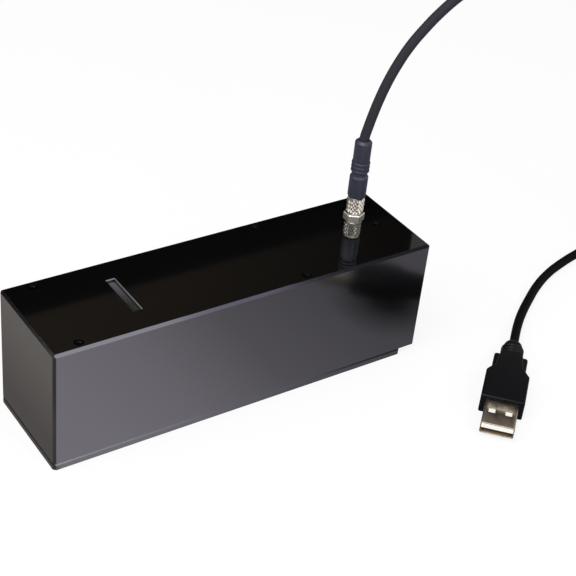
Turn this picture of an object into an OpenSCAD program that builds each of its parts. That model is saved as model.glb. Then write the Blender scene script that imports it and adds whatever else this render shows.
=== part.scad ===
// Surface roughness tester: a black anodised box with a traverse drive inside, a skidded
// pickup that works through the base plate, and a USB lead on a screw-on round plug.
// Millimetres. +X runs along the length, +Y to the rear and +Z up. The origin is the
// middle of the footprint, on the table.

/* [Housing] */
// Length of the housing
body_l = 148; // [140:1:190]
// Width of the housing
body_w = 40.5; // [39.5:0.5:60]
// Height of the tester with its base plate
body_h = 46.7; // [44:0.1:65]
// Thickness of the long side walls
side_wall = 1.5; // [1:0.1:2]
// Thickness of the end walls
end_wall = 2; // [1.2:0.1:3]
// Thickness of the top
top_t = 2.5; // [2:0.1:3.5]
// Chamfer along the outer edges
edge_chamfer = 0.9; // [0.3:0.1:1.1]

/* [Base plate] */
// Thickness of the base plate
base_t = 2.6; // [2:0.1:4]
// How far the plate stops short of the right end
base_step = 6.5; // [3:0.5:8]
// Chamfer round the plate's edges
base_chamfer = 0.7; // [0.3:0.1:0.9]
// Width of the measuring opening
gauge_w = 14; // [10:0.5:20]
// Room left round the pickup's nose in the measuring opening
gauge_margin = 4; // [2:0.5:6]

/* [Screws] */
// Thread of the case screws
screw_d = 2; // [1.6:0.1:2.2]
// Head of the case screws
screw_head_d = 3.4; // [3:0.1:4]
// Depth of the heads under the surface
screw_recess = 0.3; // [0.1:0.1:0.6]
// Length of the top screws
top_screw_l = 7; // [6:0.5:9]
// Length of the base screws
base_screw_l = 8; // [6:0.5:10]
// Distance of the left top screws from the left end
screw_inset = 10.2; // [8:0.1:13]
// Distance of the paired top screws from the long edges
screw_edge = 3.4; // [3.2:0.1:5]
// Distance of the single top screw from the right end
end_screw_inset = 10.1; // [9:0.1:12]

/* [Light slot] */
// Distance of the slot from the left end
slot_inset = 34.9; // [30:0.1:45]
// Length of the slot, across the box
slot_l = 19; // [14:0.5:24]
// Width of the slot
slot_w = 2.9; // [2:0.1:4]
// Depth of the light window under the top
slot_recess = 1.2; // [0.6:0.1:1.6]
// Chamfer round the slot
slot_chamfer = 0.3; // [0.1:0.05:0.5]

/* [Traverse drive] */
// Length kept for motor and board, from the right bearing block's middle to the right end
bay_l = 51.8; // [49:0.1:60]
// Thickness of the bearing blocks
block_t = 8; // [6:0.5:10]
// Guide rod diameter
rod_d = 5; // [4:0.5:6]
// Distance between the guide rods in a housing of the stock width
rod_pitch = 24; // [22:0.5:26]
// Diameter of the lead screw
lead_d = 4; // [3.4:0.1:5]
// Diameter of the lead screw's journals
journal_d = 3; // [2.4:0.1:3.2]
// Travel of the carriage
traverse = 17.5; // [8:0.5:19]
// Length of the carriage
carriage_l = 24; // [20:0.5:26]
// Height of the carriage
carriage_h = 14; // [13:0.5:15]
// Outer diameter of the carriage bushes
bush_od = 8; // [7:0.1:9]
// Gear module
gear_module = 0.5; // [0.4:0.05:0.55]
// Teeth of the gear on the lead screw
gear_teeth = 36; // [30:1:38]
// Teeth of the motor pinion
pinion_teeth = 18; // [17:1:20]
// Face width of the gears
gear_face = 4; // [3:0.5:5]
// Motor diameter
motor_d = 12; // [10:0.5:14]
// Length of the motor can
motor_l = 16; // [12:0.5:18]

/* [Pickup] */
// Diameter of the pickup tube
pickup_d = 6; // [5.5:0.1:7]
// Bore of the pickup tube
pickup_bore = 4; // [3.4:0.1:4.6]
// Length of the pickup tube
pickup_l = 40; // [36:0.5:42]
// Length of the pickup holder
holder_l = 14; // [12:0.5:16]
// Width of the pickup holder
holder_w = 10; // [9:0.5:12]
// Height of the skid and the stylus point above the table
skid_clear = 0.1; // [0.05:0.05:0.3]
// Diameter of the pickup's pivot pin
pivot_d = 2; // [1.5:0.1:2.5]

/* [Electronics] */
// Width of the main board
board_w = 29; // [26:0.5:31]
// Height of the main board
board_h = 29; // [26:0.5:30]
// Thickness of the boards
board_t = 1.6; // [1:0.1:2]
// Thickness of the board bracket's sheet
bracket_t = 1.2; // [0.8:0.1:1.6]

/* [Plug and socket] */
// Distance of the socket from the right end
socket_inset = 14; // [13:0.1:16]
// Offset of the socket from the middle, to the rear
socket_y = 8.4; // [7:0.1:10]
// Thread of the panel socket
socket_d = 5; // [4.5:0.1:5.5]
// Width across the flats of the panel nut
nut_af = 7.5; // [6.2:0.1:8]
// Height of the panel nut
nut_h = 1.5; // [1.2:0.1:2.4]
// Diameter of the knurled coupling ring
ring_d = 6.7; // [6.5:0.1:8]
// Length of the coupling ring
ring_l = 6.6; // [6:0.1:9]
// Diameter of the plug grip at the ring
grip_d = 6.7; // [6.2:0.1:7.2]
// Diameter of the plug grip at the lead
grip_tail_d = 6.2; // [5.6:0.05:6.6]
// Length of the plug grip
grip_l = 22.5; // [20:0.5:26]
// Diameter of the lead
cord_d = 3.6; // [3:0.1:4]

/* [USB plug] */
// Width of the shell
shell_w = 12; // [11.5:0.1:12.5]
// Height of the shell
shell_h = 4.5; // [4.3:0.1:4.8]
// Length of the shell outside the grip
shell_l = 13.3; // [11:0.1:14.6]
// Sheet thickness of the shell
shell_t = 0.3; // [0.25:0.05:0.5]
// Width of the grip
usb_grip_w = 15.8; // [14.5:0.1:17]
// Height of the grip
usb_grip_h = 7.8; // [7:0.1:9]

/* [Hidden] */
$fn = 48;

// Radial gaps: fit for what is fixed, run for what turns or slides
fit = 0.01;
run = 0.03;
// Room between parts that pass each other
pass = 0.3;
// Overcut of a hole past its face
over = 1;

// Places in the housing
left_x = -body_l / 2;
right_x = body_l / 2;
inner_w = body_w - 2 * side_wall;
top_z = body_h - top_t;
screw_y = body_w / 2 - screw_edge;
end_screw_x = right_x - end_screw_inset;
slot_x = left_x + slot_inset;
socket_x = right_x - socket_inset;
// Ledge that closes the housing's underside past the base plate, and the posts for its last two screws
ledge_t = 2;
ledge_lap = 2;
post_d = 5;
post_h = 7;
post_x = right_x - base_step - 6;
post_y = inner_w / 2 - post_d / 2;
post_root = inner_w / 2 + side_wall / 2;

// Bearing blocks, rods and carriage, built up from the base plate
left_block_x = left_x + screw_inset;
right_block_x = right_x - bay_l;
block_gap = 0.15;
block_w = inner_w - 2 * block_gap;
left_face = left_block_x + block_t / 2;
right_face = right_block_x - block_t / 2;
drive_face = right_block_x + block_t / 2;
// The rods spread with the housing: rod_pitch is theirs at the stock width
stock_w = 40.5;
rod_y = rod_pitch / 2 * body_w / stock_w;
base_screw_y = rod_y;

// Pickup heights, from the base plate up
holder_wall = 0.8;
holder_clear = 0.8;
pickup_z = base_t + holder_clear + holder_wall + pickup_d / 2;
pivot_z = pickup_z + pickup_d / 2 + 1.6 + pivot_d / 2;
holder_top = pivot_z + pivot_d / 2 + 1.2;
spring_room = 3.5;
bracket_base_t = 1.6;
bracket_z = holder_top + spring_room;
carriage_z = bracket_z + bracket_base_t;
carriage_top = carriage_z + carriage_h;
rod_z = carriage_z + carriage_h / 2;
carriage_side = 1.2;
carriage_w = inner_w - 2 * carriage_side;
bush_l = 9;
clamp_slit = 1.2;

// Carriage at the start of its travel
end_gap = 2.7;
carriage_x1 = right_face - end_gap - traverse;
carriage_x0 = carriage_x1 - carriage_l;

// Pickup along X
holder_x1 = carriage_x0 + holder_l;
holder_x0 = carriage_x0;
pivot_x = (holder_x0 + holder_x1) / 2;
tube_x1 = holder_x1 + 2;
tube_x0 = tube_x1 - pickup_l;
skid_l = 4;
skid_x = tube_x0 + 0.8 + skid_l / 2;
tip_x = skid_x + skid_l / 2 + 1.6;
tip_slot_l = 2.6;
nose_t = 1;
stylus_pin_d = 1;
stylus_l = 12;
stylus_pin_x = tip_x + stylus_l;
stylus_d = 1.4;
stylus_nose = 0.7;
stylus_eye_d = 2.4;
stylus_eye_w = 1.6;
stylus_tail = 8;
stylus_core_l = 4;
stylus_core_d = 2.2;
tail_room = 2;
tip_slot_w = 1.8;
skid_w = 3;
sole_r = 8;
cheek_t = 1.5;
cheek_y = holder_w / 2 + pass;
spring_d = 3.2;
spring_wire = 0.4;
spring_turns = 4;
spring_seat = 0.8;
spring_x = holder_x0 + spring_d / 2 + 0.6;
stop_x = holder_x1 - 2;
stop_gap = 0.2;
gauge_x0 = tube_x0 - gauge_margin;
gauge_x1 = tip_x + traverse + gauge_margin;

// Lead screw, nut and gears
bush_wall = 1.5;
bush_lip = 1;
flange_t = 0.8;
thread_x0 = left_face + flange_t + pass;
thread_x1 = right_face - flange_t - pass;
nut_flange_gap = 0.2;
nut_flange_d = carriage_h - 2 * nut_flange_gap;
nut_flange_t = 3;
nut_wall = 2;
nut_d = lead_d + 2 * nut_wall;
nut_screw_r = (nut_d + nut_flange_d) / 4;
nut_screw_d = 1.6;
nut_screw_grip = 5;
tap_room = 1;
gear_side = 1.2;
gear_x0 = drive_face + gear_side;
gear_centres = gear_module * (gear_teeth + pinion_teeth) / 2;
backlash = 0.1;
motor_z = rod_z - gear_centres;
shaft_d = 1.5;
gear_room = 4;
plate_gap = gear_face + gear_room;
plate_t = 2;
plate_x0 = drive_face + plate_gap;
plate_x1 = plate_x0 + plate_t;
plate_rim = 0.5;
plate_z0 = motor_z - motor_d / 2 - 2 * plate_rim;
spacer_d = 4;
spacer_side = 1;
spacer_lift = 1.5;
spacer_grip = 4;
motor_grip = 2;
spacer_y = gear_module * (gear_teeth / 2 + 1) + spacer_d / 2 + spacer_side;
spacer_z = rod_z + rod_d / 2 + spacer_d / 2 + spacer_lift;
plate_z1 = spacer_z + spacer_d / 2 + plate_rim;
plate_w = 2 * spacer_y + spacer_d + 2 * plate_rim;
encoder_l = 4;
motor_boss_d = 5;
motor_boss_l = 1.6;
motor_screw_y = 4;

// End sensor on the right block, flag on the carriage
sensor_l = 8;
sensor_w = 8;
sensor_h = 4.6;
sensor_gap = 2;
sensor_z = carriage_top + 0.8;
flag_t = 1;
flag_l = 5;
flag_h = 3.6;

// Light window, lamp board and its flat cable
window_gap = 0.1;
window_lip = 1.2;
lip_t = 1;
lamp_board_t = 1;
lamp_board_w = 8;
lamp_board_end = 6.5;
lamp_board_l = slot_l + 2 * lamp_board_end;
lamp_board_z = top_z - lip_t - lamp_board_t;
lamp_h = 0.6;
lamp_screw_d = 1.6;
lamp_screw_y = slot_l / 2 + 4;
flex_w = 4;
flex_t = 0.4;
flex_y = -6;
flex_plug_h = 3;
flex_plug_t = 2;

// Board bracket and main board, from the right end
bracket_x1 = right_x - end_wall - 2.8;
bracket_x0 = bracket_x1 - bracket_t;
bracket_w = board_w;
flange_x0 = end_screw_x - 4;
standoff_l = 2;
board_x1 = bracket_x0 - standoff_l;
board_x0 = board_x1 - board_t;
board_z1 = body_h - screw_recess - top_screw_l - 0.4;
board_z0 = board_z1 - board_h;
board_mid = (board_z0 + board_z1) / 2;
board_hole = 2.5;
standoff_d = 3.6;
insert_nut_d = 4;
insert_nut_h = 3;

// Panel socket and plug, up the socket's axis
socket_flange_d = 8;
socket_flange_t = 1.6;
socket_back_d = 6;
socket_back_l = 9;
socket_bore = socket_d - 1.2;
seal_d = 0.8;
insert_h = 1.2;
pin_d = 0.5;
pin_l = 2;
core_seat = 6;
ring_gap = 0.2;
ring_z = body_h + nut_h + ring_gap;
ring_web = 2.6;
socket_top = ring_z + ring_l - ring_web;
grip_gap = 0.6;
grip_z = ring_z + ring_l + grip_gap;
grip_top = grip_z + grip_l;
core_d = socket_bore - 0.4;
neck_d = 4;
grip_low_l = 8;
rib_d = 6.75;
rib_pitch = 1.5;
rib_count = 3;
hex_turn = -33;

// USB plug lying in front of the box, its local +X from the shell to the lead
usb_x = 67.95;
usb_y = -75.3;
usb_turn = 42.8;
usb_z = usb_grip_h / 2;
usb_straight = 16.3;
usb_neck_x = 20.7;
usb_neck_w = 10.2;
usb_collar_x = 31;
usb_collar_w = 8.6;
usb_collar_h = 7.4;
collar_pitch = 1.75;
usb_end_x = 39.5;
ear_x0 = usb_straight + 1;
ear_x1 = usb_collar_x - 1;
ear_w = 12.6;
ear_h = 4;
shell_seat = 6;
tongue_h = 1.9;

// Round coil of the spare length, lying on its tie
coil_x = 239.35;
coil_y = -13.15;
coil_turns = 3;
coil_pitch = cord_d + 0.1;
// Tightest bend of the coil, in lead diameters
coil_bend = 4.4;
coil_mean_r = coil_bend * cord_d + coil_pitch;
coil_half = coil_turns * coil_pitch / 2;
coil_h = coil_turns * coil_pitch;
tie_t = 0.8;
tie_w = 7;
tie_gap = 0.1;
// Where the lead runs into the coil's top inner turn and out of its lowest outer turn
coil_in_a = -102;
coil_out_a = 100;
coil_in = [coil_x, coil_y, tie_t + (coil_turns - 0.5) * coil_pitch]
    + (coil_mean_r - coil_pitch) * [cos(coil_in_a), sin(coil_in_a), 0];
coil_out = [coil_x, coil_y, tie_t + (coil_pitch - cord_d) / 2]
    + (coil_mean_r + coil_pitch) * [cos(coil_out_a), sin(coil_out_a), 0];

// Route of the lead, as points chosen by hand. Up from the plug, over in an arch and down to the coil
RISE = [[60, 8.4, 77.4], [60.3, 8.3, 79.5], [61.1, 8.15, 83], [62.2, 7.95, 87.5], [63.6, 7.65, 92.5],
    [65.7, 7.2, 98.8], [68.8, 6.5, 106], [72.5, 5.75, 112.5], [77, 4.8, 118.5], [82.1, 3.7, 124.2],
    [88, 2.5, 129.4], [95, 1, 134], [103, -0.7, 138], [112, -2.6, 140.7], [122, -4.7, 141.3],
    [132, -6.8, 139.8], [141.5, -8.8, 136], [150.5, -10.7, 130.2], [159, -12.5, 122.5], [166.5, -14.1, 113],
    [173, -15.5, 101.5], [178.6, -16.7, 88.5], [183.2, -17.6, 74.5], [187.4, -18.5, 60.5], [192, -19.5, 47],
    [197.7, -20.7, 35], [205, -22.3, 24.8], [214, -24.2, 16.8], [224.5, -26.4, 11.4], [236, -28.9, 9.3]];
// From the coil along the table to the USB plug, with the height of the lead's underside
TAIL = [[235.4, 9.4, 0.85], [226, 7.8, 0.75], [214, 5.9, 0.4], [202, 4.1, 0.1], [190, 2.3, 0.05], [177.5, 0.2, 0.05],
    [166, -2.4, 0.05], [155, -5.9, 0.05], [145, -10.6, 0.05], [135, -16.7, 0.1], [125.5, -23.2, 0.45],
    [118, -29.2, 1.2], [111.3, -35.2, 2.1], [107.65, -38.55, 2.25]];

// A slab between two corners
module slab(x, y, z) {
    translate([x[0], y[0], z[0]])
        cube([x[1] - x[0], y[1] - y[0], z[1] - z[0]]);
}

// A round bar along X between two stations
module bar_x(d, x, y, z) {
    translate([x[0], y, z])
        rotate([0, 90, 0])
            cylinder(d = d, h = x[1] - x[0]);
}

// A round bar along Y between two stations
module bar_y(d, x, y, z) {
    translate([x, y[0], z])
        rotate([-90, 0, 0])
            cylinder(d = d, h = y[1] - y[0]);
}

// A sleeve along X
module sleeve_x(od, id, x, y, z) {
    difference() {
        bar_x(od, x, y, z);
        bar_x(id, [x[0] - over, x[1] + over], y, z);
    }
}

// Rectangle with its corners cut at 45 degrees
module cut_rect(x, y, c) {
    polygon([[x[0] + c, y[0]], [x[1] - c, y[0]], [x[1], y[0] + c], [x[1], y[1] - c],
        [x[1] - c, y[1]], [x[0] + c, y[1]], [x[0], y[1] - c], [x[0], y[0] + c]]);
}

// Box with cut upright edges and a cut upper rim
module cut_box(x, y, z, c_side, c_top) {
    intersection() {
        translate([0, 0, z[0]])
            linear_extrude(z[1] - z[0])
                cut_rect(x, y, c_side);
        translate([0, y[1], 0])
            rotate([90, 0, 0])
                linear_extrude(y[1] - y[0])
                    polygon([[x[0], z[0]], [x[1], z[0]], [x[1], z[1] - c_top],
                        [x[1] - c_top, z[1]], [x[0] + c_top, z[1]], [x[0], z[1] - c_top]]);
        translate([x[0], 0, 0])
            rotate([90, 0, 90])
                linear_extrude(x[1] - x[0])
                    polygon([[y[0], z[0]], [y[1], z[0]], [y[1], z[1] - c_top],
                        [y[1] - c_top, z[1]], [y[0] + c_top, z[1]], [y[0], z[1] - c_top]]);
    }
}

// Countersunk screw with a hexagon socket, head at the origin and shank down -Z
module sunk_screw(d, head_d, l) {
    head_h = (head_d - d) / 2;
    rim = 0.2;
    difference() {
        rotate_extrude()
            polygon([[0, 0], [head_d / 2, 0], [head_d / 2, -rim], [d / 2, -rim - head_h], [d / 2, -l], [0, -l]]);
        translate([0, 0, -head_h * 0.8])
            cylinder(d = d * 0.75, h = head_h + over, $fn = 6);
    }
}

// The hole for it, through a wall and open at the top
module sunk_hole(d, head_d, depth, mouth) {
    head_h = (head_d - d) / 2;
    rim = 0.2;
    rotate_extrude()
        polygon([[0, mouth], [head_d / 2 + fit, mouth], [head_d / 2 + fit, -rim],
            [d / 2 + fit, -rim - head_h], [d / 2 + fit, -depth], [0, -depth]]);
}

// Cylinder-head screw, head seat at the origin, shank down -Z
module pan_screw(d, l) {
    head_h = d * 0.6;
    difference() {
        union() {
            translate([0, 0, -l])
                cylinder(d = d, h = l);
            cylinder(d = d * 1.8, h = head_h);
        }
        translate([0, 0, head_h * 0.4])
            cylinder(d = d * 0.8, h = head_h, $fn = 6);
    }
}

// Places of the top screws
module at_top_screws() {
    for (x = [left_block_x, right_block_x], y = [-screw_y, screw_y])
        translate([x, y, body_h - screw_recess])
            children();
    translate([end_screw_x, 0, body_h - screw_recess])
        children();
}

// Places of the base screws: two in each block, two in the housing's posts
module at_base_screws() {
    for (x = [left_block_x, right_block_x], y = [-base_screw_y, base_screw_y])
        translate([x, y, screw_recess])
            rotate([180, 0, 0])
                children();
    for (y = [-post_y, post_y])
        translate([post_x, y, screw_recess])
            rotate([180, 0, 0])
                children();
}

// Housing: top and four walls in one piece, open below
module housing() {
    color("#232326")
    difference() {
        union() {
            difference() {
                cut_box([left_x, right_x], [-body_w / 2, body_w / 2], [base_t, body_h], edge_chamfer, edge_chamfer);
                slab([left_x + end_wall, right_x - end_wall], [-inner_w / 2, inner_w / 2], [base_t - over, top_z]);
            }
            slab([right_x - base_step - ledge_lap, right_x - end_wall / 2], [-post_root, post_root],
                [base_t, base_t + ledge_t]);
            for (y = [-lamp_screw_y, lamp_screw_y])
                translate([slot_x, y, top_z - lip_t])
                    cylinder(d = lamp_screw_d + 2.4, h = lip_t + top_t / 2);
            for (s = [-1, 1]) {
                translate([post_x, s * post_y, base_t])
                    cylinder(d = post_d, h = post_h);
                slab([post_x - post_d / 2, post_x + post_d / 2],
                    s > 0 ? [post_y, post_root] : [-post_root, -post_y], [base_t, base_t + post_h]);
            }
        }
        at_top_screws()
            sunk_hole(screw_d, screw_head_d, top_t + over, screw_recess + over);
        for (y = [-post_y, post_y])
            translate([post_x, y, base_t - over])
                cylinder(d = screw_d + 2 * fit, h = base_screw_l + screw_recess + pass - base_t + over);
        for (y = [-lamp_screw_y, lamp_screw_y])
            translate([slot_x, y, top_z - lip_t - over])
                cylinder(d = lamp_screw_d + 2 * fit, h = lip_t + over + top_t * 0.6);
        translate([socket_x, socket_y, top_z - over])
            cylinder(d = socket_d + 2 * fit, h = top_t + 2 * over);
        slab([slot_x - slot_w / 2, slot_x + slot_w / 2], [-slot_l / 2, slot_l / 2], [top_z - over, body_h + over]);
        slot_rim();
    }
}

// Chamfer round the light slot, mitred at its corners
module slot_rim() {
    reach = slot_chamfer + over;
    intersection() {
        translate([slot_x, slot_l / 2 + reach, body_h])
            rotate([90, 0, 0])
                linear_extrude(slot_l + 2 * reach)
                    polygon([[-slot_w / 2, -slot_chamfer], [slot_w / 2, -slot_chamfer],
                        [slot_w / 2 + reach, over], [-slot_w / 2 - reach, over]]);
        translate([slot_x - slot_w / 2 - reach, 0, body_h])
            rotate([90, 0, 90])
                linear_extrude(slot_w + 2 * reach)
                    polygon([[-slot_l / 2, -slot_chamfer], [slot_l / 2, -slot_chamfer],
                        [slot_l / 2 + reach, over], [-slot_l / 2 - reach, over]]);
    }
}

// Base plate with the measuring opening under the pickup
module base_plate() {
    color("#2a2a2d")
    difference() {
        cut_box([left_x, right_x - base_step], [-body_w / 2, body_w / 2], [0, base_t], edge_chamfer, base_chamfer);
        linear_extrude(3 * base_t, center = true)
            cut_rect([gauge_x0, gauge_x1], [-gauge_w / 2, gauge_w / 2], 1.5);
        at_base_screws()
            sunk_hole(screw_d, screw_head_d, base_t + over, screw_recess + over);
    }
}

module top_screws() {
    color("#1a1a1b")
    at_top_screws()
        sunk_screw(screw_d, screw_head_d, top_screw_l);
}

module base_screws() {
    color("#1a1a1b")
    at_base_screws()
        sunk_screw(screw_d, screw_head_d, base_screw_l);
}

// Light window: a bar in the slot with a lip under the top, hollowed over the lamps
module light_window() {
    color("#8f938f")
    difference() {
        union() {
            slab([slot_x - slot_w / 2 + window_gap, slot_x + slot_w / 2 - window_gap],
                [-slot_l / 2 + window_gap, slot_l / 2 - window_gap], [top_z - lip_t, body_h - slot_recess]);
            slab([slot_x - slot_w / 2 - window_lip, slot_x + slot_w / 2 + window_lip],
                [-slot_l / 2 - window_lip, slot_l / 2 + window_lip], [top_z - lip_t, top_z]);
        }
        slab([slot_x - slot_w / 2, slot_x + slot_w / 2], [-slot_l / 2 + 1, slot_l / 2 - 1],
            [top_z - lip_t - over, top_z - lip_t + lamp_h + 0.2]);
    }
}

module lamp_board() {
    color("#2f6b3c")
    difference() {
        slab([slot_x - lamp_board_w / 2, slot_x + lamp_board_w / 2], [-lamp_board_l / 2, lamp_board_l / 2],
            [lamp_board_z, lamp_board_z + lamp_board_t]);
        for (y = [-lamp_screw_y, lamp_screw_y])
            translate([slot_x, y, lamp_board_z - over])
                cylinder(d = lamp_screw_d + 2 * fit, h = lamp_board_t + 2 * over);
    }
}

module lamps() {
    color("#f2efe0")
    for (y = [-slot_l / 3, 0, slot_l / 3])
        slab([slot_x - 0.8, slot_x + 0.8], [y - 1, y + 1], [top_z - lip_t, top_z - lip_t + lamp_h]);
}

module lamp_screws() {
    color("#b9bbbd")
    for (y = [-lamp_screw_y, lamp_screw_y])
        translate([slot_x, y, lamp_board_z])
            rotate([180, 0, 0])
                pan_screw(lamp_screw_d, lamp_board_t + lip_t + top_t * 0.5);
}

// Flat cable from the lamp board along the top to the main board's upper connector
module lamp_flex() {
    flex_x1 = board_x0 - flex_plug_t / 2;
    flex_z0 = board_z1 - 1;
    color("#c9b48a")
    translate([0, flex_y + flex_w / 2, 0])
        rotate([90, 0, 0])
            linear_extrude(flex_w)
                polygon([[slot_x + lamp_board_w / 2, lamp_board_z], [flex_x1 - flex_t, lamp_board_z],
                    [flex_x1 - flex_t, flex_z0], [flex_x1, flex_z0],
                    [flex_x1, lamp_board_z + flex_t], [slot_x + lamp_board_w / 2, lamp_board_z + flex_t]]);
}

// Bearing block: carries the rods and one end of the lead screw
module bearing_block(x) {
    difference() {
        slab([x - block_t / 2, x + block_t / 2], [-block_w / 2, block_w / 2], [base_t, top_z]);
        for (s = [-1, 1])
            bar_x(rod_d + 2 * fit, [x - block_t, x + block_t], s * rod_y, rod_z);
        bar_x(journal_d + 2 * bush_wall + 2 * fit, [x - block_t, x + block_t], 0, rod_z);
        for (y = [-screw_y, screw_y])
            translate([x, y, top_z - top_screw_l])
                cylinder(d = screw_d + 2 * fit, h = top_screw_l + over);
        for (y = [-base_screw_y, base_screw_y])
            translate([x, y, base_t - over])
                cylinder(d = screw_d + 2 * fit, h = base_screw_l + over);
    }
}

module left_block() {
    color("#9a9c9f")
    bearing_block(left_block_x);
}

module right_block() {
    color("#9a9c9f")
    difference() {
        bearing_block(right_block_x);
        slab([right_block_x - block_t, right_block_x + block_t],
            [flex_y - flex_w / 2 - pass, flex_y + flex_w / 2 + pass], [lamp_board_z - pass, top_z + over]);
        at_plate_spacers()
            bar_x(nut_screw_d + 2 * fit, [drive_face - spacer_grip - tap_room, drive_face + over], 0, 0);
    }
}

module guide_rod(y) {
    color("#d5d7da")
        bar_x(rod_d, [left_block_x - block_t / 2, right_block_x + block_t / 2], y, rod_z);
}
module guide_rod_front() { guide_rod(-rod_y); }
module guide_rod_rear() { guide_rod(rod_y); }

// Carriage on its bushes, with the nut in the middle
module carriage() {
    color("#b4b6b9")
    difference() {
        slab([carriage_x0, carriage_x1], [-carriage_w / 2, carriage_w / 2], [carriage_z, carriage_top]);
        for (s = [-1, 1])
            bar_x(bush_od + 2 * fit, [carriage_x0 - over, carriage_x1 + over], s * rod_y, rod_z);
        for (s = [-1, 1])
            slab([carriage_x0 - over, carriage_x1 + over],
                [s * rod_y - clamp_slit / 2, s * rod_y + clamp_slit / 2],
                [rod_z, carriage_top + over]);
        bar_x(nut_d + 2 * fit, [carriage_x0 - over, carriage_x1 + over], 0, rod_z);
        at_nut_screws()
            bar_x(nut_screw_d + 2 * fit, [-over, nut_screw_grip + tap_room], 0, 0);
    }
}

// Two short bushes on each rod
module carriage_bushes() {
    color("#b08d57")
    for (s = [-1, 1], x = [carriage_x0, carriage_x1 - bush_l])
        sleeve_x(bush_od, rod_d + 2 * run, [x, x + bush_l], s * rod_y, rod_z);
}

module at_nut_screws() {
    for (s = [-1, 1])
        translate([carriage_x0, s * nut_screw_r, rod_z])
            children();
}

module drive_nut() {
    color("#c9a24b")
    difference() {
        union() {
            bar_x(nut_d, [carriage_x0, carriage_x1], 0, rod_z);
            bar_x(nut_flange_d, [carriage_x0 - nut_flange_t, carriage_x0], 0, rod_z);
        }
        bar_x(lead_d + 2 * run, [carriage_x0 - nut_flange_t - over, carriage_x1 + over], 0, rod_z);
        at_nut_screws()
            bar_x(nut_screw_d + 2 * fit, [-nut_flange_t - over, over], 0, 0);
    }
}

module nut_screws() {
    color("#b9bbbd")
    at_nut_screws()
        translate([-nut_flange_t, 0, 0])
            rotate([0, -90, 0])
                pan_screw(nut_screw_d, nut_flange_t + nut_screw_grip);
}

module sensor_flag() {
    color("#3a3a3c")
    slab([carriage_x1 - flag_l - 1, carriage_x1 - 1], [-flag_t / 2, flag_t / 2], [carriage_top, carriage_top + flag_h]);
}

// Fork sensor on the right block: the flag enters it at the end of the travel
module end_sensor() {
    color("#1d1d1f")
    difference() {
        slab([right_face - sensor_l, right_face], [-sensor_w / 2, sensor_w / 2], [sensor_z, sensor_z + sensor_h]);
        slab([right_face - sensor_l - over, right_face - 1], [-sensor_gap / 2, sensor_gap / 2],
            [sensor_z - over, carriage_top + flag_h + 0.5]);
    }
}

// Lead screw with its journals; the right one carries the gear
module lead_screw() {
    color("#c4c6c9")
    translate([0, 0, rod_z])
        rotate([0, 90, 0])
            rotate_extrude()
                polygon([[0, left_block_x - block_t / 2], [journal_d / 2, left_block_x - block_t / 2],
                    [journal_d / 2, thread_x0], [lead_d / 2, thread_x0], [lead_d / 2, thread_x1],
                    [journal_d / 2, thread_x1], [journal_d / 2, gear_x0 + gear_face + 1], [0, gear_x0 + gear_face + 1]]);
}

module screw_bushes() {
    od = journal_d + 2 * bush_wall;
    color("#b08d57")
    for (s = [[left_block_x - block_t / 2, left_face, left_face, left_face + flange_t],
            [right_face, drive_face, right_face - flange_t, right_face]])
        difference() {
            union() {
                bar_x(od, [s[0], s[1]], 0, rod_z);
                bar_x(od + 2 * bush_lip, [s[2], s[3]], 0, rod_z);
            }
            bar_x(journal_d + 2 * run, [s[0] - block_t, s[1] + block_t], 0, rod_z);
        }
}

// Involute gear outline: half angle of a tooth at radius r, and the points of all teeth
function inv_deg(a) = tan(a) * 180 / PI - a;
function half_angle(r, rb, n, m) =
    90 / n - backlash / 4 / (m * n / 2) * 180 / PI + inv_deg(20) - inv_deg(acos(min(1, rb / r)));
function tooth(n, m, i) =
    let (rp = m * n / 2, rb = rp * cos(20), rf = rp - 1.25 * m, ra = rp + m,
        radii = [for (k = [0:4]) rb + (ra - rb) * k / 4], a0 = i * 360 / n, h = half_angle(rb, rb, n, m))
    concat(
        [rf * [cos(a0 - h), sin(a0 - h)]],
        [for (r = radii) let (a = a0 - half_angle(r, rb, n, m)) r * [cos(a), sin(a)]],
        [for (k = [4:-1:0]) let (r = radii[k], a = a0 + half_angle(r, rb, n, m)) r * [cos(a), sin(a)]],
        [rf * [cos(a0 + h), sin(a0 + h)]]);
module gear(n, m, face, bore) {
    rotate([90, 0, 90])
        linear_extrude(face)
            difference() {
                polygon([for (i = [0:n - 1]) each tooth(n, m, i)]);
                circle(d = bore);
            }
}

// Gear on the lead screw, one tooth pointing down at the pinion
module screw_gear() {
    color("#c9a24b")
    translate([gear_x0, 0, rod_z])
        rotate([-90, 0, 0])
            gear(gear_teeth, gear_module, gear_face, journal_d + 2 * fit);
}

// Pinion, one gap pointing up at the gear
module motor_pinion() {
    color("#d8c48a")
    translate([gear_x0, 0, motor_z])
        rotate([90 + 180 / pinion_teeth, 0, 0])
            gear(pinion_teeth, gear_module, gear_face, shaft_d + 2 * fit);
}

module motor_shaft() {
    color("#d5d7da")
    bar_x(shaft_d, [gear_x0, plate_x1 + motor_l / 2], 0, motor_z);
}

module drive_motor() {
    color("#c2c4c6")
    difference() {
        union() {
            bar_x(motor_d, [plate_x1, plate_x1 + motor_l], 0, motor_z);
            bar_x(motor_boss_d, [plate_x1 - motor_boss_l, plate_x1], 0, motor_z);
        }
        bar_x(shaft_d + 2 * run, [plate_x1 - motor_boss_l - over, plate_x1 + motor_l / 2 + pass], 0, motor_z);
        for (s = [-1, 1])
            bar_x(nut_screw_d + 2 * fit, [plate_x1 - over, plate_x1 + 2.5], s * motor_screw_y, motor_z);
    }
}

module motor_encoder() {
    color("#1d1d1f")
    bar_x(motor_d, [plate_x1 + motor_l, plate_x1 + motor_l + encoder_l], 0, motor_z);
}

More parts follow.
